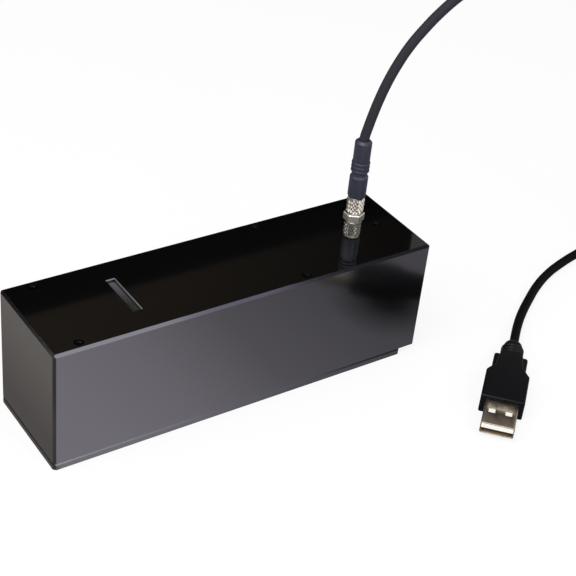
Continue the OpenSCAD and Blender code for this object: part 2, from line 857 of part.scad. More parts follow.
// Three spacers hold the motor plate off the right block
module at_plate_spacers() {
    for (p = [[-spacer_y, motor_z], [spacer_y, motor_z], [spacer_y, spacer_z]])
        translate([0, p[0], p[1]])
            children();
}

module motor_plate() {
    color("#a8aaad")
    difference() {
        translate([plate_x0, 0, 0])
            rotate([90, 0, 90])
                linear_extrude(plate_t)
                    cut_rect([-plate_w / 2, plate_w / 2], [plate_z0, plate_z1], 2);
        bar_x(motor_boss_d + 2 * fit, [plate_x0 - over, plate_x1 + over], 0, motor_z);
        for (s = [-1, 1])
            bar_x(nut_screw_d + 2 * fit, [plate_x0 - over, plate_x1 + over], s * motor_screw_y, motor_z);
        at_plate_spacers()
            bar_x(nut_screw_d + 2 * fit, [plate_x0 - over, plate_x1 + over], 0, 0);
    }
}

module plate_spacers() {
    color("#c9a24b")
    at_plate_spacers()
        sleeve_x(spacer_d, nut_screw_d + 2 * fit, [drive_face, plate_x0], 0, 0);
}

// Long screws through the spacers and two short ones into the motor's face
module plate_screws() {
    color("#b9bbbd")
    at_plate_spacers()
        translate([plate_x1, 0, 0])
            rotate([0, 90, 0])
                pan_screw(nut_screw_d, plate_t + plate_gap + spacer_grip);
    color("#b9bbbd")
    for (s = [-1, 1])
        translate([plate_x0, s * motor_screw_y, motor_z])
            rotate([0, -90, 0])
                pan_screw(nut_screw_d, plate_t + motor_grip);
}

// Pickup bracket: a plate under the carriage with two cheeks for the pivot pin
module pickup_bracket() {
    cheek_r = pivot_d / 2 + 1.6;
    color("#8d9094")
    difference() {
        union() {
            slab([holder_x0, holder_x1], [-cheek_y - cheek_t, cheek_y + cheek_t], [bracket_z, carriage_z]);
            for (y = [-cheek_y - cheek_t, cheek_y]) {
                slab([pivot_x - cheek_r, pivot_x + cheek_r], [y, y + cheek_t], [pivot_z, carriage_z]);
                bar_y(2 * cheek_r, pivot_x, [y, y + cheek_t], pivot_z);
            }
        }
        bar_y(pivot_d + 2 * fit, pivot_x, [-cheek_y - cheek_t - over, cheek_y + cheek_t + over], pivot_z);
        translate([stop_x, 0, bracket_z - over])
            cylinder(d = nut_screw_d + 2 * fit, h = carriage_z - bracket_z + 2 * over);
    }
}

module pivot_pin() {
    color("#d5d7da")
    bar_y(pivot_d, pivot_x, [-cheek_y - cheek_t, cheek_y + cheek_t], pivot_z);
}

// Tube swept along points: a ring of the section at each point, square to the route
function unit(v) = v / norm(v);
function along(p, i) = unit(p[min(i + 1, len(p) - 1)] - p[max(i - 1, 0)]);
function side_of(t) = unit(cross(t, abs(t[2]) < 0.9 ? [0, 0, 1] : [0, 1, 0]));
function carried(p, i) = i == 0 ? side_of(along(p, 0))
    : let (s = carried(p, i - 1), t = along(p, i)) unit(s - t * (s * t));
module swept(p, r, sides) {
    rings = [for (i = [0:len(p) - 1])
        let (t = along(p, i), s = carried(p, i), b = cross(t, s))
            [for (k = [0:sides - 1]) p[i] + r * (cos(360 * k / sides) * s + sin(360 * k / sides) * b)]];
    polyhedron(points = [for (ring = rings) each ring], faces = skin(len(p), sides));
}

// Faces between n rings of points, with both ends closed
function skin(n, sides) = concat(
    [[for (k = [0:sides - 1]) k]],
    [for (i = [0:n - 2], k = [0:sides - 1])
        let (a = i * sides + k, b = i * sides + (k + 1) % sides) [a, a + sides, b + sides, b]],
    [[for (k = [sides - 1:-1:0]) (n - 1) * sides + k]]);

// Compression spring that presses the pickup down
module pickup_spring() {
    z0 = holder_top - spring_seat + spring_wire / 2;
    z1 = bracket_z - spring_wire / 2;
    steps = 12 * spring_turns;
    r = (spring_d - spring_wire) / 2;
    color("#b9bbbd")
    translate([spring_x, 0, 0])
        swept([for (i = [0:steps]) [r * cos(30 * i), r * sin(30 * i), z0 + (z1 - z0) * i / steps]], spring_wire / 2, 6);
}

// Stop screw above the holder's tail
module stop_screw() {
    color("#1a1a1b")
    difference() {
        translate([stop_x, 0, holder_top + stop_gap])
            cylinder(d = nut_screw_d, h = carriage_z - holder_top - stop_gap);
        translate([stop_x, 0, carriage_z - 0.8])
            cylinder(d = nut_screw_d * 0.5, h = over, $fn = 6);
    }
}

// Pickup holder: the lever that swings on the pivot pin and clamps the tube
module pickup_holder() {
    color("#4a4c50")
    difference() {
        slab([holder_x0, holder_x1], [-holder_w / 2, holder_w / 2],
            [pickup_z - pickup_d / 2 - holder_wall, holder_top]);
        bar_x(pickup_d + 2 * fit, [holder_x0 - over, holder_x1 + over], 0, pickup_z);
        bar_y(pivot_d + 2 * run, pivot_x, [-holder_w, holder_w], pivot_z);
        translate([spring_x, 0, holder_top - spring_seat])
            cylinder(d = spring_d + 2 * pass, h = spring_seat + over);
    }
}

// Pickup tube with a rounded nose, a bore for the stylus arm and a slot under its tip
module pickup_tube() {
    nose = 1;
    color("#b7b9bc")
    difference() {
        translate([0, 0, pickup_z])
            rotate([0, 90, 0])
                rotate_extrude()
                    polygon([[0, tube_x0], [pickup_d / 2 - nose, tube_x0], [pickup_d / 2, tube_x0 + nose],
                        [pickup_d / 2, tube_x1], [0, tube_x1]]);
        bar_x(pickup_bore, [tube_x0 + nose_t, stylus_pin_x + stylus_tail + tail_room], 0, pickup_z);
        slab([tip_x - tip_slot_l / 2, tip_x + tip_slot_l / 2], [-tip_slot_w / 2, tip_slot_w / 2], [0, pickup_z]);
        bar_y(stylus_pin_d + 2 * fit, stylus_pin_x, [-pickup_d, pickup_d], pickup_z);
    }
}

// Skid: a shoe under the nose with a long round sole
module skid() {
    color("#7e2f33")
    difference() {
        intersection() {
            slab([skid_x - skid_l / 2, skid_x + skid_l / 2], [-skid_w / 2, skid_w / 2], [0, pickup_z]);
            bar_y(2 * sole_r, skid_x, [-skid_w, skid_w], skid_clear + sole_r);
        }
        bar_x(pickup_d + 2 * fit, [skid_x - skid_l, skid_x + skid_l], 0, pickup_z);
    }
}

module stylus_pin() {
    color("#d5d7da")
    bar_y(stylus_pin_d, stylus_pin_x, [-pickup_d / 2 + 0.3, pickup_d / 2 - 0.3], pickup_z);
}

// Stylus arm: a fine lever on its pin, with the coil core on its tail
module stylus_arm() {
    color("#cfd1d4")
    difference() {
        union() {
            bar_x(stylus_d, [tip_x - stylus_nose, stylus_pin_x + stylus_tail], 0, pickup_z);
            bar_x(stylus_core_d, [stylus_pin_x + stylus_tail - stylus_core_l, stylus_pin_x + stylus_tail], 0, pickup_z);
            bar_y(stylus_eye_d, stylus_pin_x, [-stylus_eye_w / 2, stylus_eye_w / 2], pickup_z);
        }
        bar_y(stylus_pin_d + 2 * run, stylus_pin_x, [-2, 2], pickup_z);
    }
}

// Stylus shank with its cone point
module stylus_tip() {
    shank = 0.8;
    color("#e6e7ea")
    difference() {
        translate([tip_x, 0, skid_clear])
            rotate_extrude()
                polygon([[0, 0], [shank / 2, shank / 2], [shank / 2, pickup_z - skid_clear], [0, pickup_z - skid_clear]]);
        bar_x(stylus_d + 2 * fit, [tip_x - 2, tip_x + 2], 0, pickup_z);
    }
}

// Board bracket: a bent sheet under the top, cut round the socket
module board_bracket() {
    notch_d = socket_flange_d + 2;
    color("#a8aaad")
    difference() {
        union() {
            slab([flange_x0, bracket_x1], [-bracket_w / 2, bracket_w / 2], [top_z - bracket_t, top_z]);
            slab([bracket_x0, bracket_x1], [-bracket_w / 2, bracket_w / 2], [board_z0 - 1, top_z]);
            translate([end_screw_x, 0, top_z - bracket_t - insert_nut_h])
                cylinder(d = insert_nut_d, h = insert_nut_h);
        }
        translate([end_screw_x, 0, top_z - top_screw_l])
            cylinder(d = screw_d + 2 * fit, h = top_screw_l + over);
        translate([socket_x, socket_y, top_z - 2 * bracket_t])
            cylinder(d = notch_d, h = 4 * bracket_t);
        slab([flange_x0 - over, socket_x], [socket_y - notch_d / 2, socket_y + notch_d / 2],
            [top_z - 2 * bracket_t, top_z + over]);
        at_board_holes()
            bar_x(nut_screw_d + 2 * fit, [bracket_x0 - over, bracket_x1 + over], 0, 0);
    }
}

module at_board_holes() {
    for (y = [-board_w / 2 + board_hole, board_w / 2 - board_hole], z = [board_z0 + board_hole, board_z1 - board_hole])
        translate([0, y, z])
            children();
}

module main_board() {
    color("#1f5a35")
    difference() {
        slab([board_x0, board_x1], [-board_w / 2, board_w / 2], [board_z0, board_z1]);
        at_board_holes()
            bar_x(nut_screw_d + 2 * fit, [board_x0 - over, board_x1 + over], 0, 0);
    }
}

// Chips, crystal, capacitors and plugs on the board, as [y, z, width, height, thickness] from its middle
PARTS = [[-2, 1.5, 7, 7, 1.2], [5.5, 3, 4, 4, 0.9], [6, -2.5, 3.2, 2.5, 0.8], [-8.5, 1, 3, 5, 1.5],
    [-3.5, -7, 2, 1.25, 0.8], [0.5, -7, 2, 1.25, 0.8], [5, -8, 5, 4, 1.8], [8.5, 6, 4, 3, 1.8]];
module board_parts() {
    color("#222224")
    for (p = PARTS)
        slab([board_x0 - p[4], board_x0], [p[0] - p[2] / 2, p[0] + p[2] / 2],
            [board_mid + p[1] - p[3] / 2, board_mid + p[1] + p[3] / 2]);
    color("#222224")
    difference() {
        slab([board_x0 - flex_plug_t, board_x0], [flex_y - flex_w / 2 - 1, flex_y + flex_w / 2 + 1],
            [board_z1 - flex_plug_h, board_z1]);
        slab([board_x0 - flex_plug_t / 2 - flex_t - fit, board_x0 - flex_plug_t / 2 + fit],
            [flex_y - flex_w / 2 - fit, flex_y + flex_w / 2 + fit], [board_z1 - 1, board_z1 + over]);
    }
}

module board_standoffs() {
    color("#c9a24b")
    at_board_holes()
        sleeve_x(standoff_d, nut_screw_d + 2 * fit, [board_x1, bracket_x0], 0, 0);
}

module board_screws() {
    color("#b9bbbd")
    at_board_holes()
        translate([board_x0, 0, 0])
            rotate([0, -90, 0])
                pan_screw(nut_screw_d, board_t + standoff_l + bracket_t);
}

// Panel socket: flange under the top, threaded barrel up through it
module panel_socket() {
    color("#c8c4b8")
    translate([socket_x, socket_y, 0])
        difference() {
            union() {
                translate([0, 0, top_z - socket_flange_t])
                    cylinder(d = socket_flange_d, h = socket_flange_t);
                translate([0, 0, top_z - socket_flange_t])
                    cylinder(d = socket_d, h = socket_top - top_z + socket_flange_t);
                translate([0, 0, top_z - socket_flange_t - socket_back_l])
                    cylinder(d = socket_back_d, h = socket_back_l);
            }
            translate([0, 0, body_h])
                cylinder(d = socket_bore, h = socket_top - body_h + over);
            seal_ring(fit);
        }
}

// Seal in a groove of the socket's flange
module seal_ring(gap) {
    rotate_extrude()
        translate([socket_d / 2 + 0.8, top_z - seal_d / 2])
            square(seal_d + 2 * gap, center = true);
}
module socket_seal() {
    color("#141414")
    translate([socket_x, socket_y, 0])
        seal_ring(0);
}

// Insulator with four pins standing in the socket
module socket_insert() {
    color("#2b2b2b")
    translate([socket_x, socket_y, body_h]) {
        cylinder(d = socket_bore - 2 * fit, h = insert_h);
        for (a = [45:90:315])
            rotate([0, 0, a])
                translate([core_d / 4, 0, insert_h])
                    cylinder(d = pin_d, h = pin_l);
    }
}

module panel_nut() {
    color("#c8c4b8")
    translate([socket_x, socket_y, body_h])
        rotate([0, 0, hex_turn])
            difference() {
                intersection() {
                    cylinder(d = nut_af / cos(30), h = nut_h, $fn = 6);
                    rotate_extrude()
                        polygon([[0, 0], [nut_af / 2 + 0.6, 0], [nut_af / 2 + 0.6, nut_h - 0.4], [nut_af / 2, nut_h], [0, nut_h]]);
                }
                translate([0, 0, -over])
                    cylinder(d = socket_d + 2 * fit, h = nut_h + 2 * over);
            }
}

// Coupling ring: runs on the socket's barrel below and on the plug's neck above
module coupling_ring() {
    edge = 0.35;
    r = ring_d / 2;
    web_z = socket_top + pass - ring_z;
    color("#cfcabd")
    translate([socket_x, socket_y, ring_z])
        rotate_extrude()
            polygon([[socket_d / 2 + run, 0], [r - edge, 0], [r, edge], [r, ring_l - edge], [r - edge, ring_l],
                [neck_d / 2 + run, ring_l], [neck_d / 2 + run, web_z], [socket_d / 2 + run, web_z]]);
}

// Plug core: neck through the ring and spigot in the socket, with a hole for each pin
module plug_core() {
    color("#b5b1a6")
    translate([socket_x, socket_y, 0])
        difference() {
            union() {
                translate([0, 0, socket_top + pass])
                    cylinder(d = neck_d, h = grip_z + core_seat - socket_top - pass);
                translate([0, 0, body_h + insert_h + pass])
                    cylinder(d = core_d, h = socket_top - body_h - insert_h);
            }
            for (a = [45:90:315])
                rotate([0, 0, a])
                    translate([core_d / 4, 0, body_h])
                        cylinder(d = pin_d + 0.2, h = insert_h + pin_l + pass);
        }
}

// Plug grip: a moulded sleeve with three ribs and a neck below them
module plug_grip() {
    r0 = grip_d / 2;
    r1 = grip_tail_d / 2;
    groove = r1 - 0.15;
    low = grip_low_l;
    first = low + 2.4;
    edge = 0.5;
    ribs = [for (i = [0:rib_count - 1]) let (z = first + i * rib_pitch)
        each [[groove, z - 0.5], [rib_d / 2, z - 0.25], [rib_d / 2, z + 0.25], [groove, z + 0.5]]];
    last = first + (rib_count - 1) * rib_pitch;
    color("#3a3b44")
    translate([socket_x, socket_y, grip_z])
        difference() {
            rotate_extrude()
                polygon(concat([[0, 0], [r0 - edge, 0], [r0, edge], [r0, low - 0.2], [r0 - 0.2, low], [groove, low + 0.5]],
                    ribs, [[r1, last + 1], [r1, grip_l - edge], [r1 - edge, grip_l], [0, grip_l]]));
            translate([0, 0, -over])
                cylinder(d = neck_d + 2 * fit, h = core_seat + over);
        }
}

// Lead: two plain tubes, each with one end carried along by its plug and the other by the coil
function led(p, first, last) = let (n = len(p) - 1)
    [for (i = [0:n]) p[i] + (first - p[0]) * (1 - i / n) + (last - p[n]) * (i / n)];
module cord_rise() {
    color("#2c2b2f")
        swept(led(RISE, [socket_x, socket_y, grip_top], coil_in), cord_d / 2, 8);
}
module cord_tail() {
    r = cord_d / 2;
    reach = shell_l + usb_end_x;
    plug_end = [usb_x + reach * cos(usb_turn), usb_y + reach * sin(usb_turn), usb_z - r];
    color("#161617")
    translate([0, 0, r])
        swept(led(TAIL, coil_out, plug_end), r, 8);
}

// Closed solid of the coil: the outline of its bundle of turns, with corners as round as the lead
module cord_coil() {
    r = cord_d / 2;
    a = coil_half - r;
    b = coil_h / 2 - r;
    color("#1c1c1e")
    translate([coil_x, coil_y, tie_t + coil_h / 2])
        rotate_extrude()
            polygon([for (q = [[a, b, 0], [-a, b, 90], [-a, -b, 180], [a, -b, 270]], t = [0:30:90])
                [coil_mean_r + q[0] + r * cos(q[2] + t), q[1] + r * sin(q[2] + t)]]);
}

// Tie round one side of the coil, wide enough inside for the coil's bend
module cord_tie() {
    bend = tie_w * tie_w / 8 / (coil_mean_r - coil_half);
    inside = [-coil_half - bend - tie_gap, coil_half + tie_gap];
    color("#202022")
    translate([coil_x + coil_mean_r, coil_y, 0])
        difference() {
            slab(inside + [-tie_t, tie_t], [-tie_w / 2, tie_w / 2], [0, coil_h + 2 * tie_t]);
            slab(inside, [-tie_w, tie_w], [tie_t, tie_t + coil_h]);
        }
}

// USB plug, lying flat
module usb_frame() {
    translate([usb_x, usb_y, usb_z])
        rotate([0, 0, usb_turn])
            children();
}

// Moulded grip: flat body with cut shoulders, two ears and a ribbed round collar
module usb_grip() {
    w = usb_grip_w / 2;
    n = usb_neck_w / 2;
    collar_y = usb_collar_w / 2;
    collar_z = usb_collar_h / 2;
    color("#17171a")
    usb_frame()
        translate([shell_l, 0, 0])
            difference() {
                union() {
                    intersection() {
                        translate([0, 0, -usb_grip_h / 2])
                            linear_extrude(usb_grip_h)
                                polygon([[0, -w + 0.8], [0.8, -w], [usb_straight, -w], [usb_neck_x, -n],
                                    [usb_collar_x, -collar_y + 0.4], [usb_collar_x, collar_y - 0.4],
                                    [usb_neck_x, n], [usb_straight, w], [0.8, w], [0, w - 0.8]]);
                        rotate([90, 0, 0])
                            linear_extrude(usb_grip_w + over, center = true)
                                polygon([[0, -usb_grip_h / 2 + 0.6], [0.8, -usb_grip_h / 2], [usb_neck_x, -usb_grip_h / 2],
                                    [usb_collar_x, -collar_z + 0.2], [usb_collar_x, collar_z - 0.2],
                                    [usb_neck_x, usb_grip_h / 2], [0.8, usb_grip_h / 2], [0, usb_grip_h / 2 - 0.6]]);
                    }
                    translate([0, 0, -ear_h / 2])
                        linear_extrude(ear_h)
                            cut_rect([ear_x0, ear_x1], [-ear_w / 2, ear_w / 2], 1);
                    usb_collar(collar_z, usb_collar_w / usb_collar_h);
                }
                slab([-over, shell_seat], [-shell_w / 2 - fit, shell_w / 2 + fit], [-shell_h / 2 - fit, shell_h / 2 + fit]);
            }
}

// Oval collar of three rings with a domed end, round the lead: half height at each station along X
module usb_collar(r, oval) {
    sides = 32;
    groove = r - 0.5;
    dome = usb_collar_x + 3 * collar_pitch;
    dome_l = usb_end_x - dome;
    tip = cord_d / 2 + 0.2;
    stations = concat(
        [[usb_collar_x - 2, groove]],
        [for (i = [0:2]) let (x = usb_collar_x + i * collar_pitch)
            each [[x, groove], [x + 0.3, r], [x + collar_pitch - 0.6, r], [x + collar_pitch - 0.3, groove]]],
        [for (a = [20:20:80]) [dome + dome_l * sin(a), tip + (groove - tip) * cos(a)]],
        [[usb_end_x, tip]]);
    polyhedron(
        points = [for (s = stations, k = [0:sides - 1])
            [s[0], oval * s[1] * cos(360 * k / sides), s[1] * sin(360 * k / sides)]],
        faces = skin(len(stations), sides));
}

// Folded shell with two windows on each face and its seam below
module usb_shell() {
    window = 2.5;
    color("#b8b5ae")
    usb_frame()
        difference() {
            slab([0, shell_l + shell_seat], [-shell_w / 2, shell_w / 2], [-shell_h / 2, shell_h / 2]);
            slab([-over, shell_l + shell_seat + over],
                [-shell_w / 2 + shell_t, shell_w / 2 - shell_t], [-shell_h / 2 + shell_t, shell_h / 2 - shell_t]);
            for (y = [-shell_w / 4, shell_w / 4])
                slab([shell_l - 5.6 - window / 2, shell_l - 5.6 + window / 2], [y - window / 2, y + window / 2], [-shell_h, shell_h]);
        }
}

module usb_tongue() {
    z0 = -shell_h / 2 + shell_t + fit;
    color("#e8e6e0")
    usb_frame()
        rotate([180, 0, 0])
            difference() {
                union() {
                    slab([0.6, shell_l + 2], [-shell_w / 2 + shell_t + fit, shell_w / 2 - shell_t - fit],
                        [z0, z0 + tongue_h]);
                    slab([shell_l + 2, shell_l + shell_seat - fit],
                        [-shell_w / 2 + shell_t + fit, shell_w / 2 - shell_t - fit], [z0, shell_h / 2 - shell_t - fit]);
                }
                at_usb_contacts()
                    slab([-over, shell_l + 2], [-0.55, 0.55], [z0 + tongue_h - 0.25, z0 + tongue_h + over]);
            }
}

module at_usb_contacts() {
    for (y = [-3.5, -1, 1, 3.5])
        translate([0, y, 0])
            children();
}

module usb_contacts() {
    z1 = -shell_h / 2 + shell_t + fit + tongue_h;
    color("#caa44a")
    usb_frame()
        rotate([180, 0, 0])
            at_usb_contacts()
                slab([1.6, shell_l + 1], [-0.5, 0.5], [z1 - 0.25 + fit, z1 + 0.15]);
}

housing();
base_plate();
top_screws();
base_screws();
light_window();
lamp_board();
lamps();
lamp_screws();
lamp_flex();
left_block();
right_block();
guide_rod_front();
guide_rod_rear();
carriage();
carriage_bushes();
drive_nut();
nut_screws();
sensor_flag();
end_sensor();
lead_screw();
screw_bushes();
screw_gear();
motor_pinion();
motor_shaft();
drive_motor();
motor_encoder();
motor_plate();
plate_spacers();
plate_screws();
pickup_bracket();
pivot_pin();
pickup_spring();
stop_screw();
pickup_holder();
pickup_tube();
skid();
stylus_pin();
stylus_arm();
stylus_tip();
board_bracket();
main_board();
board_parts();
board_standoffs();
board_screws();
panel_socket();
socket_insert();
socket_seal();
panel_nut();
coupling_ring();
plug_core();
plug_grip();
cord_rise();
cord_coil();
cord_tie();
cord_tail();
usb_grip();
usb_shell();
usb_tongue();
usb_contacts();
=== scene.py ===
import math

import bmesh
import bpy
from bpy.props import FloatProperty, FloatVectorProperty, IntProperty, PointerProperty
from bpy.types import Operator, Panel, PropertyGroup
from mathutils import Matrix, Vector


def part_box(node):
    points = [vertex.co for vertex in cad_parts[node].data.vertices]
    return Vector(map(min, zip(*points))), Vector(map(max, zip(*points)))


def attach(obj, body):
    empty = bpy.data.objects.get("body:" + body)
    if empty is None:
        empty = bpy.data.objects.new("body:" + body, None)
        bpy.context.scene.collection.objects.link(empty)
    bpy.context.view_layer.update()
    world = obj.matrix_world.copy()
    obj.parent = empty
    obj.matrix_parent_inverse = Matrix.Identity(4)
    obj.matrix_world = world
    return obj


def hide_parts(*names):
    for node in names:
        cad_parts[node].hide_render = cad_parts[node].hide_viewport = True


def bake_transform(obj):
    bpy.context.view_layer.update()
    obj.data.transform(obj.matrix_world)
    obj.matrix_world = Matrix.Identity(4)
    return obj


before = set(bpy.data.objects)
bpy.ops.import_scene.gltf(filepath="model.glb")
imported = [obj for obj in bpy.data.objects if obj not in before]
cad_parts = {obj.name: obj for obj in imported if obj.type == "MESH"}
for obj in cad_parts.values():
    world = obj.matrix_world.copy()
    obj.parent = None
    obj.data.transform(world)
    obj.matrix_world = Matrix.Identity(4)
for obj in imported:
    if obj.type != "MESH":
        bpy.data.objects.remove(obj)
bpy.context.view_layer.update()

bl_info = {
    "name": "Surface roughness tester",
    "version": (1, 0, 0),
    "blender": (4, 5, 0),
    "location": "View3D > Sidebar > Tester",
    "description": "Dresses the packed roughness tester with its finishes, plugs, lead and studio",
    "category": "Object",
}

MM = 0.001
TURN = 2 * math.pi
# Distance in metres under which two vertices are one, and slack in millimetres when places are compared
MERGE = 1e-7
NEAR = 0.01

# Camera, fitted to the box's edges in the photograph
CAMERA_PLACE = (-0.22404, -0.33473, 0.31509)
CAMERA_TURN_DEG = (55.507, -5.273, -33.310)
CAMERA_SENSOR_MM = 36.0
CAMERA_LENS_MM = 88.47

# Round plug, in millimetres up its axis from the foot of each piece
NECK_D = 4.0
NECK_ROOM = 0.03
SOCKET_D = 5.0
RING_WEB = 4.3
RING_EDGE = 0.35
KNURL_SQUAT = 0.8
NUT_AF = 6.9
NUT_CHAMFER = 0.2
NUT_TURN_DEG = -33
NUT_STEPS = 72
GRIP_STEPS = 64
GRIP_CLEAR = 0.08
GRIP_FOOT_W = 0.4
GRIP_FOOT_H = 0.5
GRIP_SEAT = 6.0
GRIP_LOW_L = 8.0
GRIP_TAIL_D = 6.2
GRIP_RIM = 0.9
SHOULDER_LOW = 0.3
SHOULDER_HIGH = 0.5
RIB_D = 6.75
RIB_W = 1.0
RIB_CREST = 0.6
RIB_GROOVE = 0.25
RIB_PITCH = 1.5
RIB_COUNT = 3
RIB_FIRST = GRIP_LOW_L + 2.4
RIB_TAIL = 1.0

# Screws in the top, in millimetres: two pairs over the bearing blocks and one over the board bracket
SCREW_PLACES = [(-63.8, -16.85), (-63.8, 16.85), (22.2, -16.85), (22.2, 16.85), (63.9, 0)]
SCREW_TOP = 46.4
SCREW_D = 2.0
SCREW_HEAD_D = 3.4
SCREW_L = 7.0
SCREW_STEPS = 48
HEAD_RIM = 0.2
HEAD_CHAMFER = 0.1
SOCKET_AF = 1.3
SOCKET_DEPTH = 0.56
SOCKET_CHAMFER = 0.2

# Spring over the pickup, in millimetres
SPRING_WIRE_D = 0.4
SPRING_TURNS = 4
SPRING_STEPS_PER_TURN = 16
SPRING_SIDES = 8

# Part of a noise texture's range that a grain fills
GRAIN_RANGE = (0.3, 0.7)
# Roughness of the polished top against the sides, and the depths between which it sets in, in millimetres
TOP_POLISH = 0.3
POLISH_DEPTHS = (0.1, 0.05)
# Places along Y between which painted light turns the light window paler towards the rear, in millimetres
WINDOW_PAINTED_LIGHT_SPAN = (-4.0, 10.0)
# Heights between which painted light turns the lead's jacket from near black to a lighter grey, in
# millimetres
JACKET_PAINTED_LIGHT_HEIGHTS = (15, 70)
# Mirror of the USB moulding and of the lead, where 0.5 is what their index gives a polished surface
USB_SPECULAR = 0.14
LEAD_SPECULAR = 0.05
# Threads of the woven strap, in millimetres, and the radians of a wave texture for each unit of its input
THREAD_PITCH = 0.5
THREAD_H = 0.08
WAVE_RATE = 20
# Tracks on the boards, in millimetres, and a brick texture's own height of a row and width of a joint
TRACK_PITCH = 2.0
BRICK_ROW = 0.25
BRICK_JOINT = 0.03
MASK_GREEN = "#14532f"

# USB plug, in millimetres in its own frame: X runs from the mouth of the shell to the lead
USB_PLACE = (67.95, -75.3, 3.9)
USB_TURN_DEG = 42.8
SHELL_L = 13.3
SHELL_SEAT = 6.0
SHELL_W = 12.0
SHELL_H = 4.5
SHELL_T = 0.3
LEAD_IN_L = 0.3
WINDOW = 2.5
WINDOW_X = SHELL_L - 5.6
TONGUE_FRONT = 0.1
TONGUE_H = 1.9
TONGUE_FOOT = 2.0
TONGUE_ROOM = 0.03
CONTACT_PLACES = (-3.5, -1.0, 1.0, 3.5)
GROOVE_W = 1.1
GROOVE_DEPTH = 0.25
GROOVE_START = 0.9
USB_W = 15.8
USB_H = 7.8
USB_STRAIGHT = 16.3
USB_NECK_X = 20.7
USB_NECK_W = 10.2
USB_STEPS = 48
USB_COLLAR_X = 31.0
USB_COLLAR_W = 8.6
USB_COLLAR_H = 7.4
COLLAR_ROOT = 2.0
COLLAR_STEP_W = 0.3
COLLAR_STEP_H = 0.4
COLLAR_RINGS = 3
COLLAR_PITCH = 1.75
COLLAR_SLOPE = 0.3
COLLAR_GROOVE = 0.5
COLLAR_ROUND = 0.12
DOME_POINTS = 7
DOME_START_DEG = 8
DOME_STEP_DEG = 12
LEAD_ROOM = 0.2
USB_END_X = 39.5
EAR_X0 = 17.3
EAR_X1 = 30.0
EAR_W = 12.6
EAR_H = 4.0
EAR_ROOT = 2.2

# Strap round the coil, in millimetres
STRAP_T = 0.8
STRAP_ROUND = 1.9

# Route of the lead in millimetres: up from the round plug, over an arch to the coil, and back to the USB plug
LEAD_RISE = [
    (60, 8.4, 77.4), (60.3, 8.3, 79.5), (61.1, 8.15, 83), (62.2, 7.95, 87.5), (63.6, 7.65, 92.5),
    (65.7, 7.2, 98.8), (68.8, 6.5, 106), (72.5, 5.75, 112.5), (77, 4.8, 118.5), (82.1, 3.7, 124.2),
    (88, 2.5, 129.4), (95, 1, 134), (103, -0.7, 138), (112, -2.6, 140.7), (122, -4.7, 141.3),
    (132, -6.8, 139.8), (141.5, -8.8, 136), (150.5, -10.7, 130.2), (159, -12.5, 122.5),
    (166.5, -14.1, 113), (173, -15.5, 101.5), (178.6, -16.7, 88.5), (183.2, -17.6, 74.5),
    (187.4, -18.5, 60.5), (192, -19.5, 47), (197.7, -20.7, 35), (205, -22.3, 24.8), (214, -24.2, 16.8),
    (224.5, -26.4, 11.4), (236, -28.9, 9.3),
]
# The last stretch lies on the table, so its heights are those of the lead's underside
LEAD_TAIL = [
    (235.4, 9.4, 0.85), (226, 7.8, 0.75), (214, 5.9, 0.4), (202, 4.1, 0.1), (190, 2.3, 0.05),
    (177.5, 0.2, 0.05), (166, -2.4, 0.05), (155, -5.9, 0.05), (145, -10.6, 0.05), (135, -16.7, 0.1),
    (125.5, -23.2, 0.45), (118, -29.2, 1.2), (111.3, -35.2, 2.1), (107.65, -38.55, 2.25),
]
COIL_CENTRE = (239.35, -13.15)
COIL_IN_DEG = -102
COIL_OUT_DEG = 100
COIL_LIFT = 0.8
COIL_POINTS_PER_TURN = 20
# Cells of the coil as (layer, ring), in the order in which the lead fills them from the top
COIL_CELLS = [(2, 0), (2, 1), (2, 2), (1, 2), (1, 1), (1, 0), (0, 0), (0, 1), (0, 2)]

# Floor, in metres, and the share of it that the camera sees as plain white: the rest keeps the shadow
FLOOR_SIZE = (6.0, 6.0)
FLOOR_GLOW = 0.85
# Painted light on the floor, seen only in reflections: how pale it looks along X, with a painted pool of
# light shaped as a white card in front of the tester
CARD_PAINTED_LIGHT_LEVELS = [
    (-0.16, 0.46), (-0.097, 0.43), (-0.079, 0.26), (-0.0735, 0.26), (-0.0715, 1.0), (-0.05, 0.97),
    (-0.02, 0.84), (0.02, 0.48), (0.066, 0.33), (0.24, 0.36),
]
CARD_LEFT = -0.0725
CARD_COLOUR = "#f6f1ff"
TABLE_COLOUR = "#fff5f0"
# Painted shade on the floor, seen only in reflections: darker round the corner in front of the card, a
# painted shadow beside the USB plug, and darker behind the tester
CORNER_PAINTED_SHADE_LEVEL = 0.45
CORNER_REACH = (-0.035, -0.018)
PLUG_SHADE_LEVEL = 0.08
PLUG_SHADE_PLACE = (0.085, -0.05, 0)
PLUG_SHADE_REACH = (0.006, 0.025)
BEHIND_PAINTED_SHADE_LEVEL = 0.4
BEHIND_REACH = (0.05, 0.09)

# Plane of the flags behind the tester, the heights at which the dark ones end, and the level to which a
# fading one's painted light falls
FLAG_Y = 0.6
FLAG_EDGE = 0.522
LOW_FLAG_EDGE = 0.36
FLAG_PAINTED_FADE_LEVEL = 0.12
# Flags behind the tester, as name, colour, two places along X, two heights, and two places where one fades
REAR_FLAGS = [
    ("dark_flag", "#040404", (-0.3, 0.7), (0, FLAG_EDGE), None),
    ("low_dark_flag", "#040404", (-0.9, -0.3), (0, LOW_FLAG_EDGE), None),
    ("warm_flag", "#423a2f", (-0.2, 0.7), (FLAG_EDGE, 1.1), (0.22, 0.62)),
]
